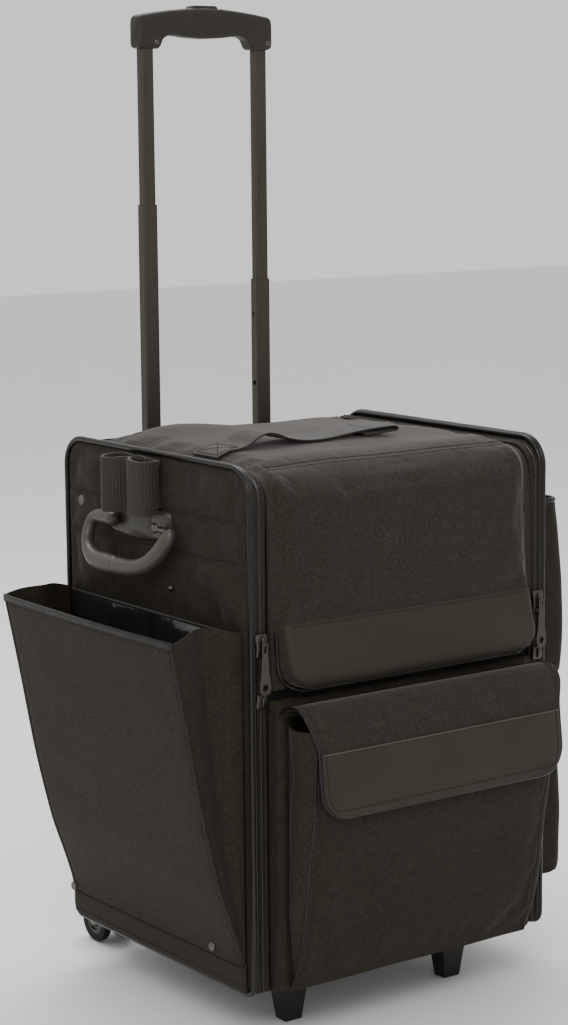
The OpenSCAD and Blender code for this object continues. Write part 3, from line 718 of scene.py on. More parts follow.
def side_pad(side, name, replaces):
    close_y = [(-SIDE_Y, 14, 1.6), (SIDE_Y, 14, 1.6)] + ([(-130, 20, 3.0)] if side < 0 else [])
    close_z = [(SIDE_LOW, 14, 1.6), (SIDE_HIGH, 14, 1.6)] + ([(505, 5, 0.7),
            (466, 5, 0.7)] if side < 0 else [])
    y, z = np.meshgrid(ticks(-SIDE_Y, SIDE_Y, 5.5, *close_y), ticks(SIDE_LOW, SIDE_HIGH, 5.5, *close_z),
                       indexing="ij")
    y, z = corner_map(y, z, SIDE_Y, SIDE_LOW, SIDE_HIGH, (R_FOOT, R_TOP))
    a = side_point(side, y, z)
    b = xyz(side * 174.2, y, z)
    obj = slab(name, a, b, "case", "body_fabric", replaces=replaces)
    return obj


side_pad(-1, "side_pad_left", ["side_panel_left", "side_band_left"])
side_pad(1, "side_pad_right", ["side_panel_right"])

# Piping cords round both sides, each with its sewn flange
cords = Bits()
# The cord itself, and the welt behind it that closes the seam to the rim
for x, half_y, lo, hi, r in ((177.9, 158.6, 59.4, 556.6, 2.6), (174.2, 157.9, 60.1, 555.9, 2.3)):
    for side in (-1, 1):
        line = np.array([(side * x, a, b) for a,
                         b in rounded_line(half_y, lo, hi, (R_FOOT + 2, R_TOP + 2), 12)])
        loop = even(np.vstack([line, line[:1]]), 560)[:-1]
        k = 1 + 0.05 * noise3(loop, 14, 2)
        cords.add(*sweep_mesh(loop, oval(r, r, 14), (1, 0, 0), closed=True, scale=k))
cords.make("side_cords", "case", "piping", replaces=["side_piping"], auto=60)


# Zip borders: front and top rims with tape, coil and stitching

def rim_line(out, lo=63.0, rear=149.5, n=260):
    """(y, z) line up the front and back along the top, out beyond the rim's own surface."""
    r = R_TOP + out
    pts = [(-158 - out, lo)] + [(-158 - out, z) for z in np.linspace(lo + 5, 550 - R_TOP, 30)]
    for k in range(1, 13):
        t = math.radians(180 - 90 * k / 12)
        pts.append((-158 + R_TOP + r * math.cos(t), 551 - R_TOP + r * math.sin(t)))
    pts += [(y, 551 + out) for y in np.linspace(-150 + R_TOP, rear, 26)]
    return even(np.array(pts, float), n)


rims, coils = Bits(), Bits()
tape_seams = Bits()
for side in (-1, 1):
    # Section: (x, stand-out) from inside to outside, with a fold at each edge
    section = [(160.2, -2.6), (160.4, -0.4), (162, 0.5), (165.2, 0.35), (166.2, -0.5), (168.6, -0.55),
               (169.6, 0.4),
               (171.2, 0.75), (173.2, 0.55), (173.9, -0.6), (173.9, -2.6)]
    line0 = rim_line(0)
    t2 = np.gradient(line0, axis=0)
    t2 /= np.linalg.norm(t2, axis=1, keepdims=True)
    out2 = np.stack([-t2[:, 1], t2[:, 0]], 1)
    a = np.zeros((len(section), len(line0), 3))
    for i, (x, h) in enumerate(section):
        a[i, :, 0] = side * x
        a[i, :, 1:] = line0 + out2 * h
    ripple = 0.22 * noise3(a, (40, 22, 22), 7)
    a[..., 1:] += out2[None] * ripple[..., None]
    b = a.copy()
    b[..., 1:] = (line0 - out2 * 2.9)[None]
    v, f = slab_mesh(a, b)
    rims.add(v, f)
    # Coil teeth
    line1 = rim_line(0.45, n=400)
    s = lengths(line1)
    n = int(s[-1] / 1.75)
    p = even(line1, n)
    t3 = np.gradient(p, axis=0)
    o3 = np.stack([0 * t3[:, 0], -t3[:, 1], t3[:, 0]], 1)
    o3 /= np.linalg.norm(o3, axis=1, keepdims=True)
    centres = np.column_stack([np.full(n, side * 167.4), p])
    axis = np.tile([1.0, 0, 0], (n, 1)) + np.column_stack([0 * p[:, 0], t3]) * 0.25
    coils.rods(centres + o3 * 0.1, axis, 2.1, 0.78, o3, 6)
    path = np.column_stack([np.full(n, side * 171.6), p])
    tape_seams.stitches(path + o3 * 0.35, o3)
rims.make("zip_tapes", "case", "body_fabric", replaces=["zip_rims"])
coils.make("zip_coils", "case", "zip_metal", replaces=["zip_chains"], skin=coil_skin)

# Rear panel, padded between its sewn borders
x, z = np.meshgrid(ticks(-174, 174, 7, (-174, 12, 1.6), (174, 12, 1.6), (0, 3, 0.8)),
                   ticks(58.4, 548, 7, (58.4, 12, 1.6), (548, 12, 1.6), (500, 4, 0.8), (110, 4, 0.8)),
                   indexing="ij")
d = edge_distance(x, z, 174, 58.4, 548, 8)
h = 2.6 * rolled(d, 12) + 0.8 * smooth(d, 8, 70)
h += 0.5 * noise3(xyz(x, 0, z), (50, 1, 60), 11)
h -= 0.9 * (bump(z, 500, 1.6) + bump(z, 110, 1.6))
a = xyz(x, 154.6 + h, z)
us, vs = np.linspace(-174, 174, 59), np.linspace(58.4, 548, 83)
held = lambda x, z: np.maximum(1 - smooth(edge_distance(x, z, 174, 58.4, 548, 8), 4, 9),
                               np.maximum(bump(z, 500, 4), bump(z, 110, 4)))
a += sampled(us, vs, cloth_field(us, vs, lambda x, z: xyz(x, 0 * x + 156, z), held, (0, 1, 0),
                                 3.0, 0.015, 2.0), x, z)
b = xyz(x, 150.2, z)
rear = slab("rear_pad", a, b, "case", "body_fabric", replaces=["rear_panel"])

# Base, seen only from below and as the lower border
x, y = np.meshgrid(ticks(-173.8, 173.8, 9, (-173.8, 9, 1.5), (173.8, 9, 1.5)),
                   ticks(-154, 149.7, 9, (-154, 9, 1.5), (149.7, 9, 1.5)), indexing="ij")
d = np.minimum(173.8 - abs(x), np.minimum(y + 154, 149.7 - y))
h = 3.2 * rolled(d, 9) + 0.4 * noise3(xyz(x, y, 0), 60, 4)
base = slab("base_pad", xyz(x, y, 61.6 - h), xyz(x, y, 65.8), "case", "body_fabric", replaces=["base_tray"])

# Lining: a fitted inner bag, a little loose along its upper edge
rings = []
for z, inset in [(535.5, 0)] + [(z, 0) for z in np.linspace(525, 90, 30)] + [(80, 0.4), (73, 3), (69.5, 9),
        (68.6, 20), (68.5, 60), (68.5, 110), (68.5, 140)]:
    ring = rounded_line(172.9 - inset, -147.4 + inset, 149 - inset - 0.6, max(14 - inset / 2, 4), 6)
    ring = even(np.vstack([ring, ring[:1]]), 161)[:-1]
    wave = 0.8 * noise3(np.column_stack([ring, np.full(len(ring), z)]), (45, 45, 70),
                        8) * (1 if inset == 0 else 0)
    k = 1 - (abs(wave) + 0.2) / 150
    rings.append(xyz(ring[:, 0] * k, ring[:, 1] * k, z))
a = np.array(rings)
a = np.concatenate([a, a[:, :1]], axis=1)
inner = a.copy()
inner[..., :2] *= 0.991
inner[..., 2] += np.where(a[..., 2] < 69, 1.0, 0)
v, f = slab_mesh(a, inner)
bag = piece("lining_bag", v, f, "case", "lining", replaces=["lining"])

# Hinge fabric between the rear panel and the lid
xs = ticks(-158.2, 158.2, 8)
line = curve([(157.2, 538), (157.6, 545), (156.5, 549.2), (152.5, 550.6), (148, 551)], 14)
a = np.zeros((len(xs), len(line), 3))
a[..., 0] = xs[:, None]
a[..., 1:] = line[None]
a[..., 1] += 0.25 * noise3(a, (25, 5, 5), 6)
hinge = slab("hinge_cloth", a, 1.1, None, "body_fabric", out=(0, 1, 1), replaces=["hinge_strip"])
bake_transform(hinge)


# ---------------------------------------------------------------- left side

stitching = Bits()      # thread on the case body
for seam in (507.2, 502.8, 468.2, 463.8):
    ys = np.linspace(-148, 151, 240)
    stitching.stitches(side_point(-1, ys, np.full(240, seam), 0.1), (-1, 0, 0))
zs = np.linspace(467, 503, 40)
stitching.stitches(side_point(-1, np.full(40, -144.0), zs, 0.1), (-1, 0, 0))

# Hem sewn under the left pocket, with its own border stitches
zline = curve([(-181.2, 62), (-182.9, 64), (-183.2, 72), (-183.2, 84), (-182.6, 88.5), (-181.4, 89.5)], 16)
ys = ticks(-150, 156, 6, (-150, 6, 1.5), (156, 6, 1.5))
a = np.zeros((len(ys), len(zline), 3))
a[..., 1] = ys[:, None]
a[..., 0] = zline[None, :, 0]
a[..., 2] = zline[None, :, 1]
a[..., 0] += 1.6 * (1 - smooth(np.minimum(ys + 150, 156 - ys), 0, 4))[:, None] + 0.25 * noise3(a,
        (5, 40, 12), 2)
slab("left_hem", a, 1.3, "case", "body_fabric", out=(-1, 0, 0))
for z in (66.5, 85.5):
    stitching.stitches(np.linspace((-183.5, -147, z), (-183.5, 153, z), 200), (-1, 0, 0))

# Left pocket: a stiffened panel hinged at the hem
HINGE = np.array([-183.0, 88.0])
LEFT_LINE = [(2.5, 0), (3, 8), (6, 20), (13.5, 43), (25, 76), (34, 110), (45, 158), (60, 239), (75, 315)]
line = curve(LEFT_LINE, 70)
line_s = lengths(line)
ys = ticks(-148, 154, 6, (-148, 7, 1.2), (154, 7, 1.2))
a = np.zeros((len(ys), len(line), 3))
a[..., 1] = ys[:, None]
sag = 2.6 * np.sin(np.pi * (ys + 148) / 302)[:, None] * smooth(line_s, 60, 330)[None]
a[..., 0] = HINGE[0] - line[None, :, 0] - sag
a[..., 2] = HINGE[1] + line[None, :, 1]
edge = np.minimum(ys + 148, 154 - ys)
a[..., 0] += (1.5 * (1 - rolled(edge, 3)) + 0.8 * bump(edge, 5.5, 1.5))[:, None]
a[..., 0] += 0.9 * noise3(a, (20, 60, 45), 9) * smooth(edge, 2, 25)[:, None]
panel = slab("left_pocket_wall", a, 2.3, "left_pocket", "body_fabric", out=(-1, 0, 0),
             replaces=["left_pocket_panel"])
pocket_thread = Bits()
for i in (np.argmin(abs(ys + 142)), np.argmin(abs(ys - 148))):
    pocket_thread.stitches(a[i] + [-0.3, 0, 0], (-1, 0, 0))
# Binding folded over the mouth
top = a[:, -1].copy()
section = [(-2.1, -3.2), (-2.3, -1), (-2.1, 1.6), (-1.3, 2.5), (0, 2.8), (1.3, 2.5), (2.0, 1.4), (2.1, -1),
           (1.9, -3.4)]
mouth = xyz(0.0, np.linspace(-148.3, 154.3, 90), np.zeros(90))
mouth[:, 0] = np.interp(mouth[:, 1], ys, top[:, 0]) + 1.2
mouth[:, 2] = 402.6
bind = Bits()
v, f = sweep_mesh(mouth, [(p[1], -p[0]) for p in section], (0, 0, 1))
v[:, 0] += 0.25 * noise3(v, (9, 9, 9), 3)
bind.add(v, f)
bind.make("left_mouth_binding", "left_pocket", "piping")
for z, out in ((399.6, -1.8), (406.0, -0.9)):
    pocket_thread.stitches(mouth + [out - 0.9, 0, z - 402.6], (-1, 0, 0))
pocket_thread.make("left_pocket_stitching", "left_pocket", "body_fabric", skin=thread)

# Folded ends of the left pocket
for name, y0, sign in (("left_gusset_front", -148.8, 1), ("left_gusset_rear", 154.8, -1)):
    rise = np.linspace(0, 1, 46)
    lx = np.interp(rise * 318, line[:, 1], line[:, 0])
    s = ticks(0, 1, 0.05)
    fold = rise[None] ** 0.8
    a = np.zeros((len(s), len(rise), 3))
    a[..., 0] = -181.6 + (HINGE[0] + 2.4 - lx[None] + 181.6) * s[:, None]
    a[..., 2] = 89 + 316 * rise[None] + 7 * smooth(rise, 0.8, 1)[None] * np.sin(np.pi * s)[:, None]
    crease = np.exp(-((s - 0.52) / 0.2) ** 2)[:, None] * 11 * fold + 3.0 * np.sin(np.pi * s)[:, None] * fold
    a[..., 1] = y0 + sign * crease + 0.7 * noise3(a, (18, 18, 40), 12) * np.sin(np.pi * s)[:, None]
    g = slab(name + "_cloth", a, 1.1, "case", "body_fabric", out=(0, -sign, 0), replaces=[name])
    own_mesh(g)

# Clear sleeve inside the pocket: one sheet of film that bulges in two windows below a sewn top edge
s = ticks(0, 1, 0.012)
r = ticks(0, 1, 0.03)
a = np.zeros((len(s), len(r), 3))
a[..., 1] = -139 + 287 * s[:, None]
a[..., 2] = 93 + 307.5 * r[None]
loose = np.sin(np.pi * np.clip((s * 2) % 1, 0, 1))[:, None] * smooth(r, 0.45,
        0.93)[None] * (1 - 0.75 * smooth(r, 0.955, 1.0))[None]
wr = noise3(a, (10, 40, 90), 21) + 0.35 * noise3(a, (10, 22, 50), 22)
a[..., 0] = -181.6 - 0.3 - 6.5 * loose * (1 + 0.45 * wr) - 0.8 * abs(wr) * smooth(r, 0.3, 0.8)[None]
film = slab("clear_film", a, 0.4, "case", "clear_vinyl", out=(-1, 0, 0), replaces=["clear_sleeve"], auto=60)
edge = np.linspace((-182.2, -139, 401), (-182.2, 148, 401), 120)
sweep("film_binding", edge, oval(2.6, 0.7, 10), (0, 0, 1), "case", "piping")
stitching.stitches(edge + [-0.8, 0, 0], (-1, 0, 0), 2.9)

# Ribbed keeper loop: a sleeve of hook tape pinched in the middle to two lobes, open at the top
ring = curve([(-181.4, 12), (-181.2, -6), (-184.5, -12.5), (-191, -14.6), (-198.5, -13.6), (-203.5, -9),
              (-205, 2), (-203.5, 12),
              (-198.2, 18.5), (-195.6, 22.5), (-198.4, 26.5), (-206, 31), (-212.6, 37.5), (-214.3, 41.5),
              (-212.2, 45), (-204, 50.2),
              (-194, 52.6), (-186, 51.5), (-181.8, 46), (-181.3, 30), (-181.4, 12)], 221)[:-1]
zs = np.array([498.5, 499, 500, 502, 505.4, 507, 511, 515, 520, 526, 532, 538, 543, 546.5, 548.6, 550.2,
               551.0, 551.3])
sr = lengths(np.vstack([ring, ring[:1]]))[:-1]
ring[:, 1] -= 7.0
t = np.roll(ring, -1, 0) - np.roll(ring, 1, 0)
out = np.stack([t[:, 1], -t[:, 0]], 1)
out /= np.linalg.norm(out, axis=1, keepdims=True)
if np.dot(out[50], ring[50] - ring.mean(0)) < 0:
    out = -out
hang = smooth(-ring[:, 0], 184, 196)        # the outer wall hangs lower than the sewn one
grids = []
for face in (0.0, -2.2):
    g = np.zeros((len(ring), len(zs), 3))
    rib = 0.4 * np.sin(sr * 2 * math.pi / 3.1) * (1 if face == 0 else 0.3) * smooth(33 - ring[:, 1], 0, 12)
    lip = 0.7 * (bump(zs, 548.5, 2.2) + bump(zs, 507, 2.2))
    for k, z in enumerate(zs):
        off = face + rib + lip[k] * (1 if face == 0 else
                                     -1) + 0.5 * noise3(np.column_stack([ring, np.full(len(ring), z)]), 22, 5)
        g[:, k, :2] = ring + out * off[:, None]
        low = z + (1 - hang) * max(0.0, 505.4 - z)
        g[:, k, 2] = low + (k / len(zs)) * (2.4 * smooth(ring[:, 1], 27, 43) + 0.8 * np.sin(ring[:, 1] / 9))
    grids.append(np.concatenate([g, g[:1]], 0))
v, f = slab_mesh(*grids)
piece("keeper_band", v, f, "case", "webbing", replaces=["keeper_loop"], auto=60)

# Handle plate: a moulded shield with a full cushion between a boss and a ridged tab
u, w = np.meshgrid(ticks(-1, 1, 0.04), ticks(-1, 1, 0.08), indexing="ij")
y, z = corner_map(u * 53, w * 14.5, 53, -14.5, 14.5, 7)
d = edge_distance(y, z, 53, -14.5, 14.5, 7)
z = z - 5.0 * smooth(z, -4, -14.5) * bump(y, 4, 34)          # the cushion's lower edge bellies down
h = 1.3 + 2.4 * rolled(d, 4) + 4.6 * bump(y, 6, 31) * smooth(d, 0, 9)
h += 2.4 * smooth(-y, 24, 28) * smooth(d, 0, 3) * (1 - 0.5 * smooth(-y, 38, 50))
h -= 1.6 * bump(y, -23.5, 2.2) + 1.2 * bump(np.hypot(y - 26, z + 1), 0,
                                            6.5) + 1.2 * bump(np.hypot(y + 31, z + 3), 0, 6)
a = xyz(-179.9 - h, y + HANDLE_Y, z + 489)
slab("handle_shield", a, xyz(-180.6, y + HANDLE_Y, z + 489), "case", "moulded_plastic",
     replaces=["handle_plate"], skin=shield_skin)

# Carrying handle: thin rear arm, deep palm, full front arm; a mould line and a notch inside the palm
keys = [(28, 0.3), (38, 0.5), (48, 0.8), (57, 0.5), (64, -0.5), (70.5, -5), (72.2, -13), (70, -23.5),
        (62, -34), (48, -41), (30, -43.4), (8, -43.6),
        (-12, -42.8), (-30, -40), (-45, -33), (-56, -22.5), (-62.4, -11), (-65.2, -2), (-65.6, 3)]
line = curve(keys, 150)
lean = math.radians(20)
down = np.array([math.sin(lean), 0, math.cos(lean)])
path = np.array([-191.0, HANDLE_Y, 487.0]) + line[:, :1] * [0, 1, 0] + line[:, 1:] * down
t, nrm, bi = frames(path, np.cross([0, 1, 0], down))
at = lengths(line) / lengths(line)[-1]
in_plane = np.interp(at, [0, 0.012, 0.03, 0.12, 0.21, 0.3, 0.4, 0.5, 0.62, 0.74, 0.86, 0.95, 0.985, 1],
                     [1.5, 6.0, 7.6, 7.4, 5.4, 5.6, 8.6, 10.4, 9.2, 8.6, 8.8, 8.4, 6.5, 2.0])
off_plane = np.interp(at, [0, 0.012, 0.03, 0.12, 0.21, 0.3, 0.4, 0.5, 0.62, 0.74, 0.86, 0.95, 0.985, 1],
                      [1.5, 5.8, 7.4, 7.2, 6.0, 6.6, 8.0, 8.8, 8.8, 8.4, 8.0, 7.6, 6.0, 1.8])
ang = np.linspace(0, 2 * math.pi, 33)[:-1]
rings = []
for i in range(len(path)):
    c, s_ = np.cos(ang), np.sin(ang)
    groove = 1 - 0.05 * bump(np.minimum(abs(ang - math.pi / 2), abs(ang - 3 * math.pi / 2)), 0, 0.12)
    notch = 1 - 0.07 * bump(at[i], 0.585, 0.008)
    side_in, side_off = nrm[i], bi[i]
    if abs(np.dot(side_in, np.cross([0, 1, 0], down))) > 0.5:
        side_in, side_off = side_off, side_in
    rings.append(path[i] + (c * in_plane[i] * groove * notch)[:, None] * side_in
                 + (s_ * off_plane[i] * groove * notch)[:, None] * side_off)
v, f = loft(rings)
piece("side_handle", v, f, "carry_handle", "soft_rubber", replaces=["carry_handle"])

# Domed rivets and snaps
domes = Bits()


def dome(bits, centre, axis, r, h, ring=20, dish=0.0):
    axis = np.asarray(axis, float)
    ref = np.array([0, 0, 1.0]) if abs(axis[2]) < 0.9 else np.array([1.0, 0, 0])
    u = np.cross(axis, ref)
    u /= np.linalg.norm(u)
    w = np.cross(axis, u)
    prof = [(1.0, 0.0), (1.02, 0.18), (0.92, 0.55), (0.7, 0.86), (0.45, 0.98 - dish),
            (0.2, 1.0 - dish * 1.5), (0.001, 1.0 - dish * 1.6)]
    t = np.linspace(0, 2 * math.pi, ring, endpoint=False)
    v = [np.asarray(centre, float) + axis * h * k + (np.cos(t)[:, None] * u + np.sin(t)[:, None] * w) * r
         * q for q, k in prof]
    v = np.vstack([np.asarray(centre, float) + (np.cos(t)[:, None] * u + np.sin(t)[:, None] * w) * r * 0.9
                   - axis * 0.4] + v)
    f = []
    for k in range(len(prof)):
        for s_ in range(ring):
            e = (s_ + 1) % ring
            f.append((k * ring + s_, k * ring + e, (k + 1) * ring + e, (k + 1) * ring + s_))
    f.append(tuple(range(ring)))
    bits.add(v, f)


for y, z, r in ((129, 495, 5.4), (-37, 431, 2.9)):
    p = side_point(-1, np.array([y]), np.array([z]))[0]
    dome(domes, p + [0.1, 0, 0], (-1, 0, 0), r, 2.4, dish=0.3 if r > 4 else 0.0)
for y, z in ((-101, 95), (150, 91)):
    dome(domes, (-186.4, y, z), (-1, 0, 0), 4.6, 1.9, dish=0.3)
domes.make("rivet_domes", "case", "bright_metal", replaces=["rivets"])

screws = Bits()
for y, z, out in ((-14, 486, -186.4), (43, 488, -183.6)):
    dome(screws, (out, y, z), (-1, 0, 0), 5.0, 1.8, dish=0.45)
screws.make("handle_screw_heads", "case", "bright_metal", replaces=["handle_screws"])


# ---------------------------------------------------------------- right side pockets

def right_pocket(name, line, node, seed):
    keys = curve(line, 40)
    half = 148.0
    ring_s = ticks(-1, 1, 0.02)
    a = np.zeros((len(ring_s), len(keys), 3))
    for j, (out, z) in enumerate(keys):
        r = min(14.0, out - 3)
        pts = [(0.6, -half + 1.5), (out - r, -half)]
        for k in range(1, 9):
            t = math.radians(-90 + 90 * k / 8)
            pts.append((out - r + r * math.cos(t), -half + r + r * math.sin(t)))
        u = np.array(pts)
        full = np.vstack([u, [(out + 1.4, -60), (out + 1.8, 0), (out + 1.4, 60)], (u * [1, -1])[::-1]])
        full = even(full, len(ring_s))
        a[:, j, 0] = 180 + full[:, 0]
        a[:, j, 1] = full[:, 1]
        a[:, j, 2] = z
    a[..., 0] += 0.8 * noise3(a, (20, 40, 30), seed) * smooth(a[..., 0], 182, 195)
    obj = slab(name, a, 2.2, "case", "body_fabric", out=(1, 0, 0), replaces=[node])
    # Floor of the pocket
    fy, fx = np.meshgrid(ticks(-half + 2, half - 2, 10), ticks(181, 180 + line[0][0] - 1.2, 6), indexing="ij")
    slab(name + "_floor", xyz(fx, fy, line[0][1] + 1.0), 1.6, "case", "body_fabric", out=(0, 0, -1))
    n = facing(a, (1, 0, 0))
    top = a[:, -1] + [0, 0, 0.6]
    sweep(name + "_binding", top - n[:, -1] * 1.1, oval(2.6, 2.1, 12), (0, 0, 1), "case", "piping")
    stitching.stitches(a[:, -2] + n[:, -2] * 0.2 + [0, 0, -3.5], n[:, -2])
    low_edge = a[:, 1] + n[:, 1] * 0.2 + [0, 0, 3]
    stitching.stitches(low_edge, n[:, 1])


right_pocket("right_pocket_upper", [(33, 311), (40, 316), (43, 340), (43.5, 370), (42, 400), (39, 430),
                                    (35.5, 460), (31, 490)], "right_upper_pocket", 31)
right_pocket("right_pocket_lower", [(33, 105), (40, 111), (41.5, 150), (40.5, 190), (37, 230), (33, 262)],
             "right_lower_pocket", 32)


# ---------------------------------------------------------------- lid

LID_C = [(150, 549.6), (110, 552.5), (50, 555.5), (-20, 556), (-90, 554.5), (-130, 552.2), (-151, 546.5),
         (-161, 537), (-164.2, 520),
         (-165, 476), (-169, 430), (-173, 412), (-180, 385), (-184, 370), (-183, 358), (-176, 349.5)]
LID_E = [(150, 548.6), (110, 549), (50, 549.4), (-20, 549.4), (-90, 549.2), (-126, 548.8), (-145, 544.6),
         (-156, 533), (-159.3, 516),
         (-160.6, 474), (-161.4, 430), (-162, 412), (-163, 385), (-164, 370), (-164.6, 360), (-165, 351)]
LID_I = [(150, 541), (110, 538.5), (50, 538), (-20, 538), (-90, 538), (-126, 538), (-141, 536.5),
         (-150, 529), (-155.5, 514),
         (-157, 474), (-157, 430), (-157, 412), (-157, 385), (-157, 370), (-157, 360), (-157, 351.5)]
keys_at = np.concatenate([np.linspace(0, 4, 26), np.linspace(4, 9, 34)[1:], np.linspace(9, 11, 18)[1:],
                          np.linspace(11, 15, 40)[1:]])
lid_c, lid_e, lid_i = along(LID_C, keys_at), along(LID_E, keys_at), along(LID_I, keys_at)
LID_HALF = 158.5
PAD_HALF, PAD_R, PAD_LOW = 153.5, 27.0, 349.5


def pad_half(z, half, r, lo):
    """Half width at height z of a panel with rounded lower corners."""
    q = np.clip((lo + r - z) / r, 0, 1)
    return half - r * (1 - np.sqrt(np.maximum(1 - q * q, 0)))


def lid_base(x, j):
    """The lid's outer surface before its cloth is blown up, at sideways place x and row numbers j."""
    z = lid_c[j, 1]
    wall = pad_half(z, PAD_HALF, PAD_R, PAD_LOW)
    inside = wall - abs(x)
    low = smooth(-lid_c[j, 0], 166, 176)
    w = smooth(inside, -1.5, 11 + low)
    w = 1 - (1 - w) ** (1 + low)
    p = np.zeros(x.shape + (3,))
    p[..., 0] = x
    for k in (0, 1):
        p[..., 1 + k] = w * lid_c[j, k] + (1 - w) * lid_e[j, k]
    front = smooth(-lid_c[j, 0], 140, 162)
    # Puckers where the padded front meets the zip border, and one long fold from each top corner
    q = xyz(np.sign(x), 0, z)
    puck = bump(abs(x), 150.5, 3.6) * front * (1 - smooth(z, 505, 540)) * smooth(z, 352, 372)
    out = -1.3 * puck * (0.9 + noise3(q, (1, 1, 8), 41))
    fold_x = 149 - 9.0 * smooth(z, 540, 430)
    out = out + 1.2 * bump(abs(x), fold_x, 3.5) * front * smooth(z, 380, 430) * noise3(q, (1, 1, 34), 42)
    sag = noise3(xyz(x, lid_c[j, 0], z), (75, 60, 55), 43)
    out = out + w * (1.3 * sag + 1.6 * (1 - (x / 150) ** 2) * smooth(inside, 8, 60) * (0.6 + 0.4 * front))
    # Soft crease running in from the lower left corner, above the band
    out = out + 3.4 * bump(z - 0.5 * (x + 150) - 420, 0, 9) * smooth(-x, 70, 130) * front * smooth(z, 413,
            424)
    out = out - 2.0 * bump(z - 0.85 * (x + 150) - 440, 0, 12) * smooth(-x, 80, 140) * front * smooth(z, 420,
            440)
    # Seam across the top behind the front corner
    seam = bump(lid_c[j, 0], -136, 1.5)
    out = out - 0.8 * seam * w
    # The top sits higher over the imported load, towards the left rear, and sags on the right
    y = lid_c[j, 0]
    out = out + 9.0 * bump(x, -75, 58) * bump(y, 108, 50) * smooth(150 - y, 2, 34) * (1 - front)
    out = out - 2.2 * bump(x, 90, 45) * smooth(150 - y, 0, 60) * smooth(y, -140, -60)
    p[..., 1] -= out * front
    p[..., 2] += out * (1 - front)
    return p


def lid_held(x, j):
    inside = pad_half(lid_c[j, 1], PAD_HALF, PAD_R, PAD_LOW) - abs(x)
    held = 1 - smooth(inside, 5, 11)
    held = np.maximum(held, bump(lid_c[j, 0], -136, 4) * (j < 60))
    held = np.maximum(held, bump(lid_c[j, 1], 412, 4))
    held = np.maximum(held, 0.9 * smooth(lid_c[j, 1], 418, 408) * (j > 60))
    return np.maximum(held, np.where((j < 3) | (j > len(keys_at) - 5), 1, 0))


LID_XS, LID_ROWS = np.linspace(-LID_HALF, LID_HALF, 73), np.arange(0, len(keys_at), 2)
LID_CLOTH = cloth_field(LID_XS, LID_ROWS, lid_base, lid_held, (0, -1, 0.4), pressure=5.0, loose=0.01, cap=3.5)


def lid_surface(x, j):
    """Outer surface of the lid at sideways place x and row numbers j."""
    x, j = np.broadcast_arrays(x, j)
    return lid_base(x, j) + sampled(LID_XS, LID_ROWS, LID_CLOTH, x, j)


xs = ticks(-LID_HALF, LID_HALF, 5.0, (-LID_HALF, 20, 1.1), (LID_HALF, 20, 1.1), (-120, 24, 2.5),
           (120, 24, 2.5))
x, j = np.meshgrid(xs, np.arange(len(keys_at)), indexing="ij")
lid_a = lid_surface(x, j)
lid_b = xyz(x, lid_i[j, 0], lid_i[j, 1])
lid = slab("lid_shell", lid_a, lid_b, "lid", "lid_fabric", replaces=["lid_panel"], auto=50)


def lid_at(x, z):
    """Points on the lid's front at heights z."""
    rows = np.arange(len(keys_at))
    front = rows[keys_at >= 7]
    jj = np.interp(-np.asarray(z, float), -lid_c[front, 1], front)
    j0 = np.clip(np.floor(jj).astype(int), 0, len(rows) - 2)
    f = (jj - j0)[:, None]
    return lid_surface(np.asarray(x, float), j0) * (1 - f) + lid_surface(np.asarray(x, float), j0 + 1) * f


# Smooth band over the lower front
rows = np.where((keys_at >= 11) & (keys_at <= 14.72))[0]
s = ticks(-1, 1, 0.02, (-1, 0.05, 0.006), (1, 0.05, 0.006))
S, J = np.meshgrid(s, rows, indexing="ij")
half = pad_half(lid_c[J, 1], PAD_HALF - 3.2, PAD_R - 3, PAD_LOW + 3)
a = lid_surface(S * half, J)
n = facing(a, (0, -1, 0))
rim = np.minimum((1 - abs(S)) * half, np.minimum(412 - lid_c[J, 1], 40))
raised = a + n * (0.15 + 0.9 * smooth(rim, 0, 2.2))[..., None]
slab("lid_band_skin", raised, a - n * 0.8, "lid", "leatherette", replaces=["lid_band"])
lid_thread = Bits()
band_x = np.linspace(-147, 147, 200)
lid_thread.stitches(lid_at(band_x, np.full(200, 409.6)) + [0, -1.3, 0], (0, -1, 0))

# Piping round the lid's lower edge
edge = []
for z in np.linspace(404, 377, 8):
    edge.append((-PAD_HALF, z))
for k in range(1, 12):
    t = math.radians(180 + 90 * k / 12)
    edge.append((-PAD_HALF + PAD_R + PAD_R * math.cos(t), PAD_LOW + PAD_R + PAD_R * math.sin(t) - 1.2))
edge += [(x, PAD_LOW - 1.4) for x in np.linspace(-PAD_HALF + PAD_R, 0, 20)]
edge = np.array(edge)
edge = mirrored(edge)
edge = even(edge, 260)
depth = np.interp(edge[:, 1], [347, 352, 365, 380, 404], [-172.6, -173.5, -173.5, -170.5, -166])
on_pad = lid_at(edge[:, 0] - np.sign(edge[:, 0]) * 1.4, np.maximum(edge[:, 1], 352))[:, 1] + 0.3
depth = np.where(edge[:, 1] > 352, on_pad, depth)
for _ in range(12):
    depth[1:-1] = (depth[:-2] + depth[1:-1] + depth[2:]) / 3
path = xyz(edge[:, 0], depth, edge[:, 1])
sweep("lid_edge_cord", path, oval(1.7, 1.7, 12), (0, 1, 0), "lid", "piping", replaces=["lid_piping"], auto=60)
inset = xyz(edge[:, 0] * 0.985, 0, edge[:, 1] + 4.6)
keep = (inset[:, 2] > 350.5) & (inset[:, 2] < 395)
lid_thread.stitches(lid_at(inset[keep, 0] * 0.985, inset[keep, 2] + 1.5) + [0, -1.1, 0], (0, -1, 0))

def top_row(y):
    """The lid's row number at depth y on its top."""
    rows = np.arange(len(keys_at))[keys_at <= 7]
    return int(round(float(np.interp(-y, -lid_c[rows, 0], rows))))


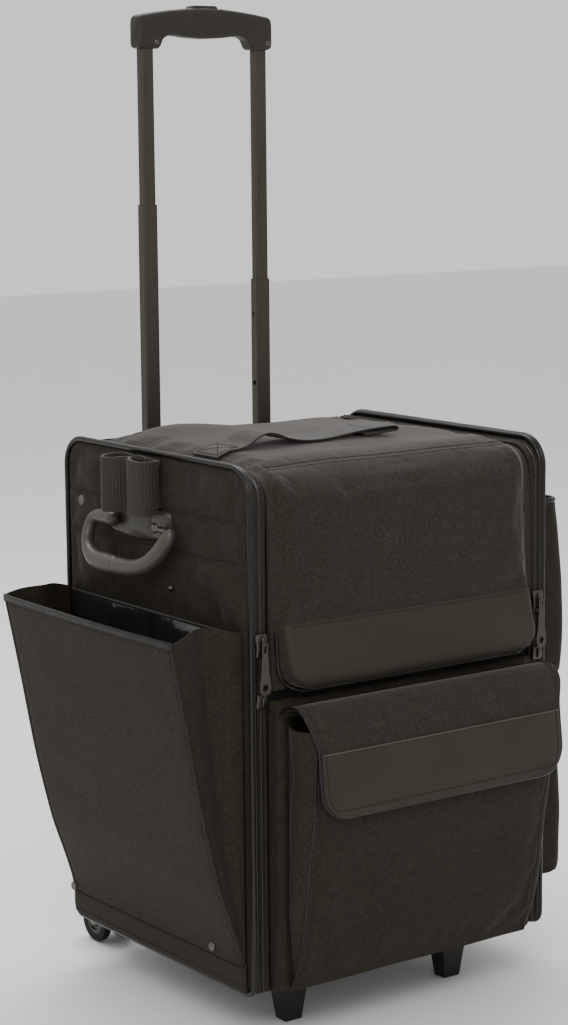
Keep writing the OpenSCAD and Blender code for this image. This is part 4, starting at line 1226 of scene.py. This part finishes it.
# Stitch line across the top, behind the front corner
for y in (-133.6, -138.6):
    jj = top_row(y)
    bx = np.linspace(-146, 146, 180)
    lid_thread.stitches(lid_surface(bx, np.full(180, jj)) + [0, 0, 0.2], (0, 0, 1))

# Carrying strap across the top: humped at the left, resting in the middle, its right end folded under
STRAP = [(-148, 0.6), (-136, 0.7), (-124, 1), (-112, 3.5), (-101, 9.3), (-90, 12.6), (-79, 11.2),
         (-66, 6.2), (-50, 2.6), (-34, 1.1),
         (-18, 1), (0, 2.3), (20, 4.5), (40, 6.8), (56, 8.6), (65, 9.2), (68.6, 8.4), (69.4, 6.6),
         (66.5, 5.2), (54, 3.4), (40, 1.6), (28, 0.7)]
STRAP_Y, STRAP_THICK = -45.0, 2.2
line = curve(STRAP, 190)
base = lid_surface(line[:, 0], np.full(len(line), top_row(STRAP_Y)))[:, 2]
path = xyz(line[:, 0], STRAP_Y + 1.8 * np.sin(line[:, 0] / 46) * bump(line[:, 0], -10, 60),
           base + line[:, 1] + 1.2)
strap = sweep("lid_strap_web", path, oval(21, STRAP_THICK / 2, 40, 0.3), (0, 1, 0), "lid", "webbing",
              replaces=["lid_strap"], auto=60)
upper = path[:130]
for x0, x1 in ((-146, -122), (34, 62)):
    box_line = np.array([(x0, -62), (x1, -62), (x1, -28), (x0, -28), (x0, -62), (x1, -28), (x1, -62),
                         (x0, -28)], float)
    for q in range(len(box_line) - 1):
        seg = np.linspace(box_line[q], box_line[q + 1], 12)
        zz = np.interp(seg[:, 0], upper[:, 0], upper[:, 2]) + STRAP_THICK / 2
        lid_thread.stitches(np.column_stack([seg, zz]) + [0, 0, 0.1], (0, 0, 1), 3.0, 2.2)
lid_thread.make("lid_stitching", "lid", "lid_fabric", skin=thread)


# ---------------------------------------------------------------- drop front

zl = [(2.0, 60.8), (5.2, 62.2), (7.4, 66), (8, 72), (8, 120), (8, 200), (8, 300), (7.8, 330), (6.4, 337.5),
      (3.0, 340)]
line = curve(zl, 110)
x, j = np.meshgrid(ticks(-158.5, 158.5, 6, (-158.5, 18, 1.2), (158.5, 18, 1.2)), np.arange(len(line)),
                   indexing="ij")
p, z = line[j, 0], line[j, 1]
inside = 158.5 - abs(x)
w = smooth(inside, 3.5, 11)
q = xyz(np.sign(x), 0, z)
h = p * (0.38 + 0.62 * w) + 1.0 * noise3(q, (1, 1, 24), 51) * bump(inside, 9, 5) * smooth(z, 66, 90)
h += 0.5 * noise3(xyz(x, 0, z), (60, 1, 50), 52)
a = xyz(x, -160 - h, z)
b = xyz(x, -156.4, np.clip(z, 61.6, 339.4))
front = slab("drop_panel", a, b, "drop_front", "body_fabric", replaces=["front_panel"])

POCKET = [(13.2, 62.5), (16, 70), (27, 98), (36, 140), (42, 187), (50, 235), (54, 285), (55, 300)]
line = curve(POCKET, 90)
x, j = np.meshgrid(ticks(-144, 144, 6, (-144, 10, 1.2), (144, 10, 1.2)), np.arange(len(line)), indexing="ij")
p, z = line[j, 0], line[j, 1]
inside = 144 - abs(x)
h = p + 3.2 * (1 - (x / 144) ** 2) * smooth(z, 70, 200) * (1 - 0.5 * smooth(z, 240, 300))
h += 1.3 * noise3(xyz(x, 0, z), (70, 1, 60), 53) * smooth(inside, 0, 30)
h -= 2.0 * (1 - rolled(inside, 4))
h -= 1.2 * bump(x, 128, 7) * smooth(z, 80, 130) * (1 - smooth(z, 200, 300))
a = xyz(x, -160 - h, z)
us, vs = np.linspace(-144, 144, 57), np.linspace(62.5, 300, 48)
base = lambda x, z: xyz(x, -160 - np.interp(z, line[:, 1], line[:, 0]), z)
held = lambda x, z: np.maximum(1 - smooth(144 - abs(x), 3, 9),
                               np.maximum(1 - smooth(z, 64, 74), bump(z, 300, 6)))
a += sampled(us, vs, cloth_field(us, vs, base, held, (0, -1, 0), 5.0, 0.022, 4.0), x, z)
pocket = slab("front_pocket_sheet", a, 2.2, "drop_front", "body_fabric", replaces=["front_pocket"])
front_thread = Bits()
cordline = Bits()
for side in (-1, 1):
    edge = xyz(side * 144.2, -160 - line[:, 0] + 1.6, line[:, 1])
    edge[:, 1] += 0.3
    v, f = sweep_mesh(even(edge, 160), oval(1.1, 1.1, 10), (1, 0, 0))
    cordline.add(v, f)
    stitch = xyz(side * 138.6, -160 - line[:, 0] - 0.6, line[:, 1])
    front_thread.stitches(stitch, (0, -1, 0))
cordline.make("front_pocket_cords", "drop_front", "piping", auto=60)

# Pleated ends of the front pocket: a full fold that swells beyond the sheet's edge
for side, node in ((-1, "front_gusset_left"), (1, "front_gusset_right")):
    s = ticks(0, 1, 0.04)
    zz = np.linspace(63, 318, 90)
    pp = np.interp(zz, line[:, 1], line[:, 0])
    pp[zz > 300] = 55
    S, Z = np.meshgrid(s, zz, indexing="ij")
    P = 7.0 + (pp[None] - 1.0 - 7.0) * S
    full = smooth(Z, 66, 150)
    swell = 13.0 * np.sin(np.pi * S) ** 0.8 * full
    pleat = 3.0 * bump(S, 0.3, 0.12) * full * (0.7 + 0.3 * noise3(xyz(S, S, Z), (1, 1, 50), 55))
    X = 140.5 + swell - pleat + 1.5 * noise3(xyz(S * 20, S, Z), (16, 1, 42), 56 + side) * np.sin(np.pi * S)
    X = X + 2.2 * S ** 3
    a = xyz(side * X, -160 - P, Z)
    g = slab(node + "_cloth", a, 1.2, "drop_front", "body_fabric", out=(side, 0, 0), replaces=[node])

# Pocket flap: cloth above, smooth skin below a light cord, bound edge
FLAP = [(9.5, 326), (13, 332), (20, 337.2), (30, 339.6), (40, 338.6), (50, 333), (57, 322), (61, 305),
        (63.5, 285), (66, 262), (67, 238)]
flap_line = curve(FLAP, 120)
fl_s = lengths(flap_line)
tan = np.gradient(flap_line, axis=0)
tan /= np.linalg.norm(tan, axis=1, keepdims=True)
fl_n = np.stack([-tan[:, 1], tan[:, 0]], 1)     # stand-out, height
fl_n[:, 0] = abs(fl_n[:, 0])
fl_n[:, 1] = abs(fl_n[:, 1]) * np.sign(np.where(fl_s < fl_s[-1] * 0.6, 1, fl_n[:, 1] + 1e-9))
LIGHT_AT = int(np.argmin(abs(flap_line[:, 1] - 299) + (flap_line[:, 0] < 50) * 500))


def flap_half(j):
    left = fl_s[-1] - fl_s[j]
    side = 146 + 8 * smooth(flap_line[j, 1], 300, 338)
    q = np.clip(1 - left / 27.0, 0, 1)
    return side - 27.0 * (1 - np.sqrt(np.maximum(1 - q * q, 0)))


def flap_surface(s, j, out=0.0, inset=0.0):
    half = flap_half(j) - inset
    x = s * half
    e = (1 - abs(s)) * half
    sag = 1.6 * noise3(xyz(x, 0, flap_line[j, 1]), (80, 1, 45), 61) * smooth(e, 0, 40)
    droop = 2.4 * smooth(abs(x), 128, 154) * smooth(fl_s[j], 20, 70)
    o = out + sag * smooth(fl_s[j], 10, 50) - droop
    return xyz(x, -160 - (flap_line[j, 0] + fl_n[j, 0] * o), flap_line[j, 1] + fl_n[j, 1] * o)


s = ticks(-1, 1, 0.03, (-1, 0.06, 0.008), (1, 0.06, 0.008))
S, J = np.meshgrid(s, np.arange(len(flap_line)), indexing="ij")
a = flap_surface(S, J)
b = flap_surface(S, J, -2.8)
flap = slab("pocket_flap_cloth", a, b, "pocket_flap", "lid_fabric", replaces=["pocket_flap"])
rows = np.arange(LIGHT_AT, len(flap_line))
S, J = np.meshgrid(s, rows, indexing="ij")
skin = flap_surface(S, J, 0.75, 1.2)
flap_skin = slab("pocket_flap_skin", skin, flap_surface(S, J, -0.4, 1.2), "pocket_flap", "leatherette")
path = flap_surface(np.linspace(-0.985, 0.985, 200), np.full(200, LIGHT_AT), 0.9)
sweep("pocket_flap_light_cord", path, oval(0.75, 0.75, 10), (0, 0, 1), "pocket_flap", "piping", auto=60,
      skin=light_cord)
rim = [flap_surface(np.array([-1.0]), np.array([k]), -1.2)[0] for k in range(2, len(flap_line))]
low_row = len(flap_line) - 1
rim += [flap_surface(np.array([q]), np.array([low_row]), -1.2)[0] for q in np.linspace(-1, 0, 40)[1:]]
rim = even(mirrored(np.array(rim)), 420)
sweep("pocket_flap_binding", rim, oval(1.6, 1.4, 12), (0.02, -0.8, 0.6), "pocket_flap", "piping", auto=60)
flap_thread = Bits()
inner_rim = [flap_surface(np.array([-1.0]), np.array([k]), 0.95, 6.0)[0] for k in range(8,
        len(flap_line) - 6)]
k_low = len(flap_line) - 7
inner_rim += [flap_surface(np.array([q]), np.array([k_low]), 0.95, 6.0)[0] for q in np.linspace(-1, 0,
        40)[1:]]
flap_thread.stitches(mirrored(np.array(inner_rim)), (0, -0.9, 0.4))
flap_thread.make("pocket_flap_stitching", "pocket_flap", "lid_fabric", skin=thread)
front_thread.make("front_stitching", "drop_front", "body_fabric", skin=thread)

stitching.make("case_stitching", "case", "body_fabric", skin=thread)
tape_seams.make("zip_tape_stitching", "case", "body_fabric", skin=thread)


# ---------------------------------------------------------------- zip sliders and pulls

def plate_with_holes(bits, outline, holes, y0, y1, x0, z0):
    """Flat plate with rounded rim in the x-z plane between depths y0 and y1, with round holes."""
    bm = bmesh.new()
    loops = []
    for pts in [outline] + holes:
        vs = [bm.verts.new((x0 + p[0], 0, z0 + p[1])) for p in pts]
        for k in range(len(vs)):
            bm.edges.new((vs[k], vs[(k + 1) % len(vs)]))
        loops.append(vs)
    bmesh.ops.triangle_fill(bm, use_beauty=True, use_dissolve=False, edges=bm.edges[:])
    faces = bm.faces[:]
    for v in bm.verts:
        v.co.y = y0
    out = bmesh.ops.extrude_face_region(bm, geom=faces)
    for v in out["geom"]:
        if isinstance(v, bmesh.types.BMVert):
            v.co.y = y1
    bmesh.ops.recalc_face_normals(bm, faces=bm.faces)
    bm.verts.index_update()
    bits.add([tuple(v.co) for v in bm.verts], [[v.index for v in f.verts] for f in bm.faces])
    bm.free()


def circle(cx, cy, r, n=20):
    return [(cx + r * math.cos(2 * math.pi * k / n),
             cy + r * math.sin(2 * math.pi * k / n)) for k in range(n)]


def bevelled(obj, width, segments=2, angle=35):
    mod = obj.modifiers.new("Bevel", "BEVEL")
    mod.width = width * MM
    mod.segments = segments
    mod.limit_method = "ANGLE"
    mod.angle_limit = math.radians(angle)
    mod.harden_normals = False
    return obj


ZIP_X, ZIP_Y = 168.6, -160.2
SLIDER_UPPER = [(-11.2, 3.2, 0.6), (-10.6, 4.3, 2.2), (-7, 4.7, 3.0), (-2, 4.4, 3.3), (3, 5.0, 3.4),
                (7.5, 5.6, 3.2), (10.6, 5.2, 2.4), (11.4, 4.0, 0.8)]
SLIDER_LOWER = [(-7.0, 2.8, 0.6), (-6.6, 4.4, 2.2), (-3, 5.2, 3.0), (1, 4.6, 3.2), (4.5, 4.2, 2.8),
                (6.8, 3.8, 2.0), (7.2, 2.6, 0.6)]
BRIDGE_UPPER = curve([(-2.4, 8.4), (-4.6, 7.2), (-5.5, 3.5), (-5.5, -1.5), (-4.6, -5.4), (-2.4, -6.6)], 26)
BRIDGE_LOWER = curve([(-2.4, 4.0), (-4.4, 3.0), (-4.4, -3.0), (-2.4, -4.2)], 18)


def slider_body(level, which, side, tag, outline, bridge, width, depth):
    """A waisted shell with a bridge over it; outline holds (height, half width, depth) rows."""
    bits = Bits()
    rings = []
    for z, wx, dp in outline:
        ring = []
        for t in np.linspace(0, 2 * math.pi, 24, endpoint=False):
            c, s_ = math.cos(t), math.sin(t)
            ring.append((side * ZIP_X + 1.25 * wx * np.sign(c) * abs(c) ** 0.55,
                         ZIP_Y - dp / 2 - dp / 2 * np.sign(s_) * abs(s_) ** 0.55, level + z))
        rings.append(ring)
    bits.add(*loft(rings))
    path = np.array([(side * ZIP_X, ZIP_Y + p[0], level + p[1]) for p in bridge])
    bits.add(*sweep_mesh(path, oval(width, depth, 12, 0.7), (1, 0, 0)))
    node = "slider_%s_%s" % (which, tag)
    bits.make("slider_body_%s_%s" % (which, tag), node, "zip_metal", replaces=[node], auto=50)


for side, tag in ((-1, "left"), (1, "right")):
    x0 = side * ZIP_X
    slider_body(394, "upper", side, tag, SLIDER_UPPER, BRIDGE_UPPER, 1.7, 0.75)
    slider_body(342, "lower", side, tag, SLIDER_LOWER, BRIDGE_LOWER, 1.5, 0.7)
    # Pull: a tapered plate with an oblong eye above and a round hole below
    wider = 1.36
    outline = [(-3.4, 3.2), (-2.4, 4.4), (2.4, 4.4), (3.4, 3.2), (3.3, -6), (3.0, -16), (3.4, -26),
               (4.6, -33), (4.8, -39), (3.8, -43),
               (2.0, -44.5), (-2.0, -44.5), (-3.8, -43), (-4.8, -39), (-4.6, -33), (-3.4, -26), (-3.0, -16),
               (-3.3, -6)]
    eye = [(-1.6, 1.6), (0, 2.6), (1.6, 1.6), (1.6, -4.2), (0, -5.2), (-1.6, -4.2)][::-1]
    bits = Bits()
    outline = [(p[0] * (1 + (wider - 1) * float(smooth(-p[1], 4, 16))), p[1]) for p in outline]
    plate_with_holes(bits, outline, [eye, circle(0, -37.4, 3.0)[::-1]], -166.7, -168.4, x0, 393)
    obj = bits.make("pull_plate_" + tag, "pull_" + tag, "zip_metal", replaces=["pull_" + tag], auto=30)
    bevelled(obj, 0.45, 2)


# ---------------------------------------------------------------- grip and release button

grip_lo, grip_hi = case_box("grip")
GRIP_Y = (grip_lo.y + grip_hi.y) / 2
G0 = grip_lo.z
rings = []
TOP = [(-82, 30), (-80.8, 32.6), (-78, 34), (-60, 37), (-40, 39.4), (-20, 41.3), (0, 42), (20, 41.3),
       (40, 39.4), (60, 37), (78, 34), (80.8, 32.6), (82, 30)]
LOWER = [(-82, 1.5), (-78, 0.2), (-58.5, 0.2), (-56.2, 1.5), (-54.6, 5), (-52.5, 9.5), (-47, 13),
         (-38, 13.8), (-22, 11.8), (0, 10.6), (22, 11.8),
         (38, 13.8), (47, 13), (52.5, 9.5), (54.6, 5), (56.2, 1.5), (58.5, 0.2), (78, 0.2), (82, 1.5)]
for gx in ticks(-82, 82, 3, (-82, 5, 0.8), (82, 5, 0.8), (-55, 4, 0.6), (55, 4, 0.6)):
    hi_z = np.interp(gx, [p[0] for p in TOP], [p[1] for p in TOP])
    lo_z = np.interp(gx, [p[0] for p in LOWER], [p[1] for p in LOWER])
    end = np.clip((82 - abs(gx)) / 4.0, 0.0, 1)
    shrink = 0.84 + 0.16 * math.sqrt(1 - (1 - end) ** 2)
    mid_z, half_z = (hi_z + lo_z) / 2, (hi_z - lo_z) / 2
    half_y = (9.4 + 1.1 * bump(gx, 0, 34)) * shrink
    ring = []
    for t in np.linspace(0, 2 * math.pi, 40, endpoint=False):
        c, s_ = math.cos(t), math.sin(t)
        ring.append((gx, GRIP_Y + half_y * np.sign(c) * abs(c) ** 0.34,
                     G0 + mid_z + half_z * (1 if shrink > 0.99 else 0.94 + 0.06 * shrink) * np.sign(s_)
                     * abs(s_) ** 0.36))
    rings.append(ring)
v, f = loft(rings)
grip = piece("grip_shell", v, f, "trolley_handle", "grip_plastic", replaces=["grip"], auto=50)
# The button's well is cut from the shell
well = Bits()
outline = rounded_line(8.0, -18.2, 18.2, 5.0, 8)
ring = [[(p[1], GRIP_Y + p[0], z) for p in outline] for z in (G0 + 22, G0 + 60)]
well.add(*loft(ring))
cutter = well.make("well_cutter", None, "grip_plastic")
mod = grip.modifiers.new("Well", "BOOLEAN")
mod.object = cutter
mod.operation = "DIFFERENCE"
mod.solver = "EXACT"
bpy.context.view_layer.update()
done = bpy.data.meshes.new_from_object(grip.evaluated_get(bpy.context.evaluated_depsgraph_get()))
grip.modifiers.clear()
grip.data = done
bpy.data.objects.remove(cutter)
done.shade_smooth()
done.set_sharp_from_angle(angle=math.radians(40))
# Button: two finger bumps with a dip between them
outline = rounded_line(7.2, -17.0, 17.0, 4.4, 8)
rings = []
for k, (z, grow) in enumerate(((29, 1.0), (38, 1.0), (40.6, 1.0), (41.6, 0.985), (42.3, 0.95), (42.7, 0.88),
                               (42.9, 0.7), (42.95, 0.4), (42.95, 0.05))):
    ring = []
    for p in outline:
        u, w = p[1] * grow, p[0] * grow
        rise = smooth(z, 38, 42.6) * (1.5 * bump(abs(u), 12, 4.5) - 1.5 * bump(u, 0, 5.5))
        ring.append((u, GRIP_Y + w, G0 + z + rise))
    rings.append(ring)
v, f = loft(rings)
piece("push_button", v, f, "release_button", "grip_plastic", replaces=["release_button"], auto=50)
screw = Bits()
for gx in (-62.0, 78.0):
    dome(screw, (gx * 0.985, GRIP_Y - 8.9, G0 + 7), (0, -1, 0), 2.6, 0.9, dish=0.5)
screw.make("grip_screw_heads", "trolley_handle", "bright_metal", replaces=["grip_screws"])


# ---------------------------------------------------------------- carried-over CAD nodes

BEVELS = {"front_stand": 2.0, "trolley_base": 1.6, "tube_collar": 1.8, "handle_plate": 1.0, "front_rail": 0.8,
          "outer_tube_left": 0.25, "outer_tube_right": 0.25, "middle_tube_left": 0.25,
          "middle_tube_right": 0.25,
          "inner_tube_left": 0.25, "inner_tube_right": 0.25, "hubs_left": 0.5, "hubs_right": 0.5,
          "axle_left": 0.5,
          "axle_right": 0.5, "handle_pins": 0.3, "lock_pins": 0.2, "release_rods": 0.3, "tyres_left": 0.0,
          "tyres_right": 0.0}
slots = {s["node"]: s["material_slot"] for s in frame["record"]["subparts"]}
for name, obj in frame["nodes"].items():
    obj.data.materials.clear()
    obj.data.materials.append(MATERIALS[slots[name]])
    if not obj.hide_render and BEVELS.get(name):
        obj.data.shade_smooth()
        obj.data.set_sharp_from_angle(angle=math.radians(30))
        bevelled(obj, BEVELS[name], 2 if BEVELS[name] < 1 else 3)


# ---------------------------------------------------------------- floor, light and camera

FLOOR_HALF, FLOOR_CELLS, FLOOR_LEVEL = 9.0, 12, -0.0004      # just under the wheels
WORLD_STRENGTH, OVERHEAD_POWER, KEY_POWER = 0.95, 55, 34
floor_mat = Nodes("floor")
tone = floor_mat.noise(3.0, 2.0)
MAT_FLOOR = floor_mat.finish(floor_mat.mix(tone, (0.8, 0.8, 0.797), (0.83, 0.83, 0.827)), 0.9)
mesh = bpy.data.meshes.new("floor")
places = np.linspace(-FLOOR_HALF, FLOOR_HALF, FLOOR_CELLS + 1)
pts = [(x, y, FLOOR_LEVEL) for x in places for y in places]
mesh.from_pydata(pts, [], grid_faces(FLOOR_CELLS + 1, FLOOR_CELLS + 1))
floor = bpy.data.objects.new("floor", mesh)
mesh.materials.append(MAT_FLOOR)
bpy.context.scene.collection.objects.link(floor)

world = bpy.data.worlds.new("studio")
world.use_nodes = True
world.node_tree.nodes["Background"].inputs[0].default_value = (1.0, 1.0, 1.0, 1)
world.node_tree.nodes["Background"].inputs[1].default_value = WORLD_STRENGTH
bpy.context.scene.world = world


def area_light(name, place, aim, size, power, color):
    light = bpy.data.lights.new(name, "AREA")
    light.shape = "RECTANGLE"
    light.size, light.size_y = size
    light.energy = power
    light.color = color
    obj = bpy.data.objects.new(name, light)
    obj.location = place
    obj.rotation_euler = (Vector(aim) - Vector(place)).to_track_quat("-Z", "Y").to_euler()
    bpy.context.scene.collection.objects.link(obj)


AIM = (0, 0, 0.4)
area_light("overhead", (0.3, 0.9, 2.6), AIM, (2.2, 1.6), OVERHEAD_POWER, (0.97, 0.97, 1.0))
area_light("key", (-1.6, -1.9, 2.1), AIM, (1.6, 1.2), KEY_POWER, (1.0, 0.98, 0.94))

LENS = 85.19
CAMERA_PLACE = (CASE_X - 1.4265, -1.9252, 0.8575)
YAW, PITCH, ROLL = 36.077, 9.085, -0.516        # degrees
camera = bpy.data.cameras.new("camera")
camera.sensor_width = 36.0
camera.lens = LENS
cam = bpy.data.objects.new("camera", camera)
yaw, pitch, roll = math.radians(YAW), math.radians(PITCH), math.radians(ROLL)
forward = Vector((math.sin(yaw) * math.cos(pitch), math.cos(yaw) * math.cos(pitch), -math.sin(pitch)))
level = Vector((math.cos(yaw), -math.sin(yaw), 0))
upright = level.cross(forward)
right = math.cos(roll) * level + math.sin(roll) * upright
up = -math.sin(roll) * level + math.cos(roll) * upright
rows = [(right[k], up[k], -forward[k], CAMERA_PLACE[k]) for k in range(3)]
cam.matrix_world = Matrix(rows + [(0, 0, 0, 1)])
bpy.context.scene.collection.objects.link(cam)
bpy.context.scene.camera = cam
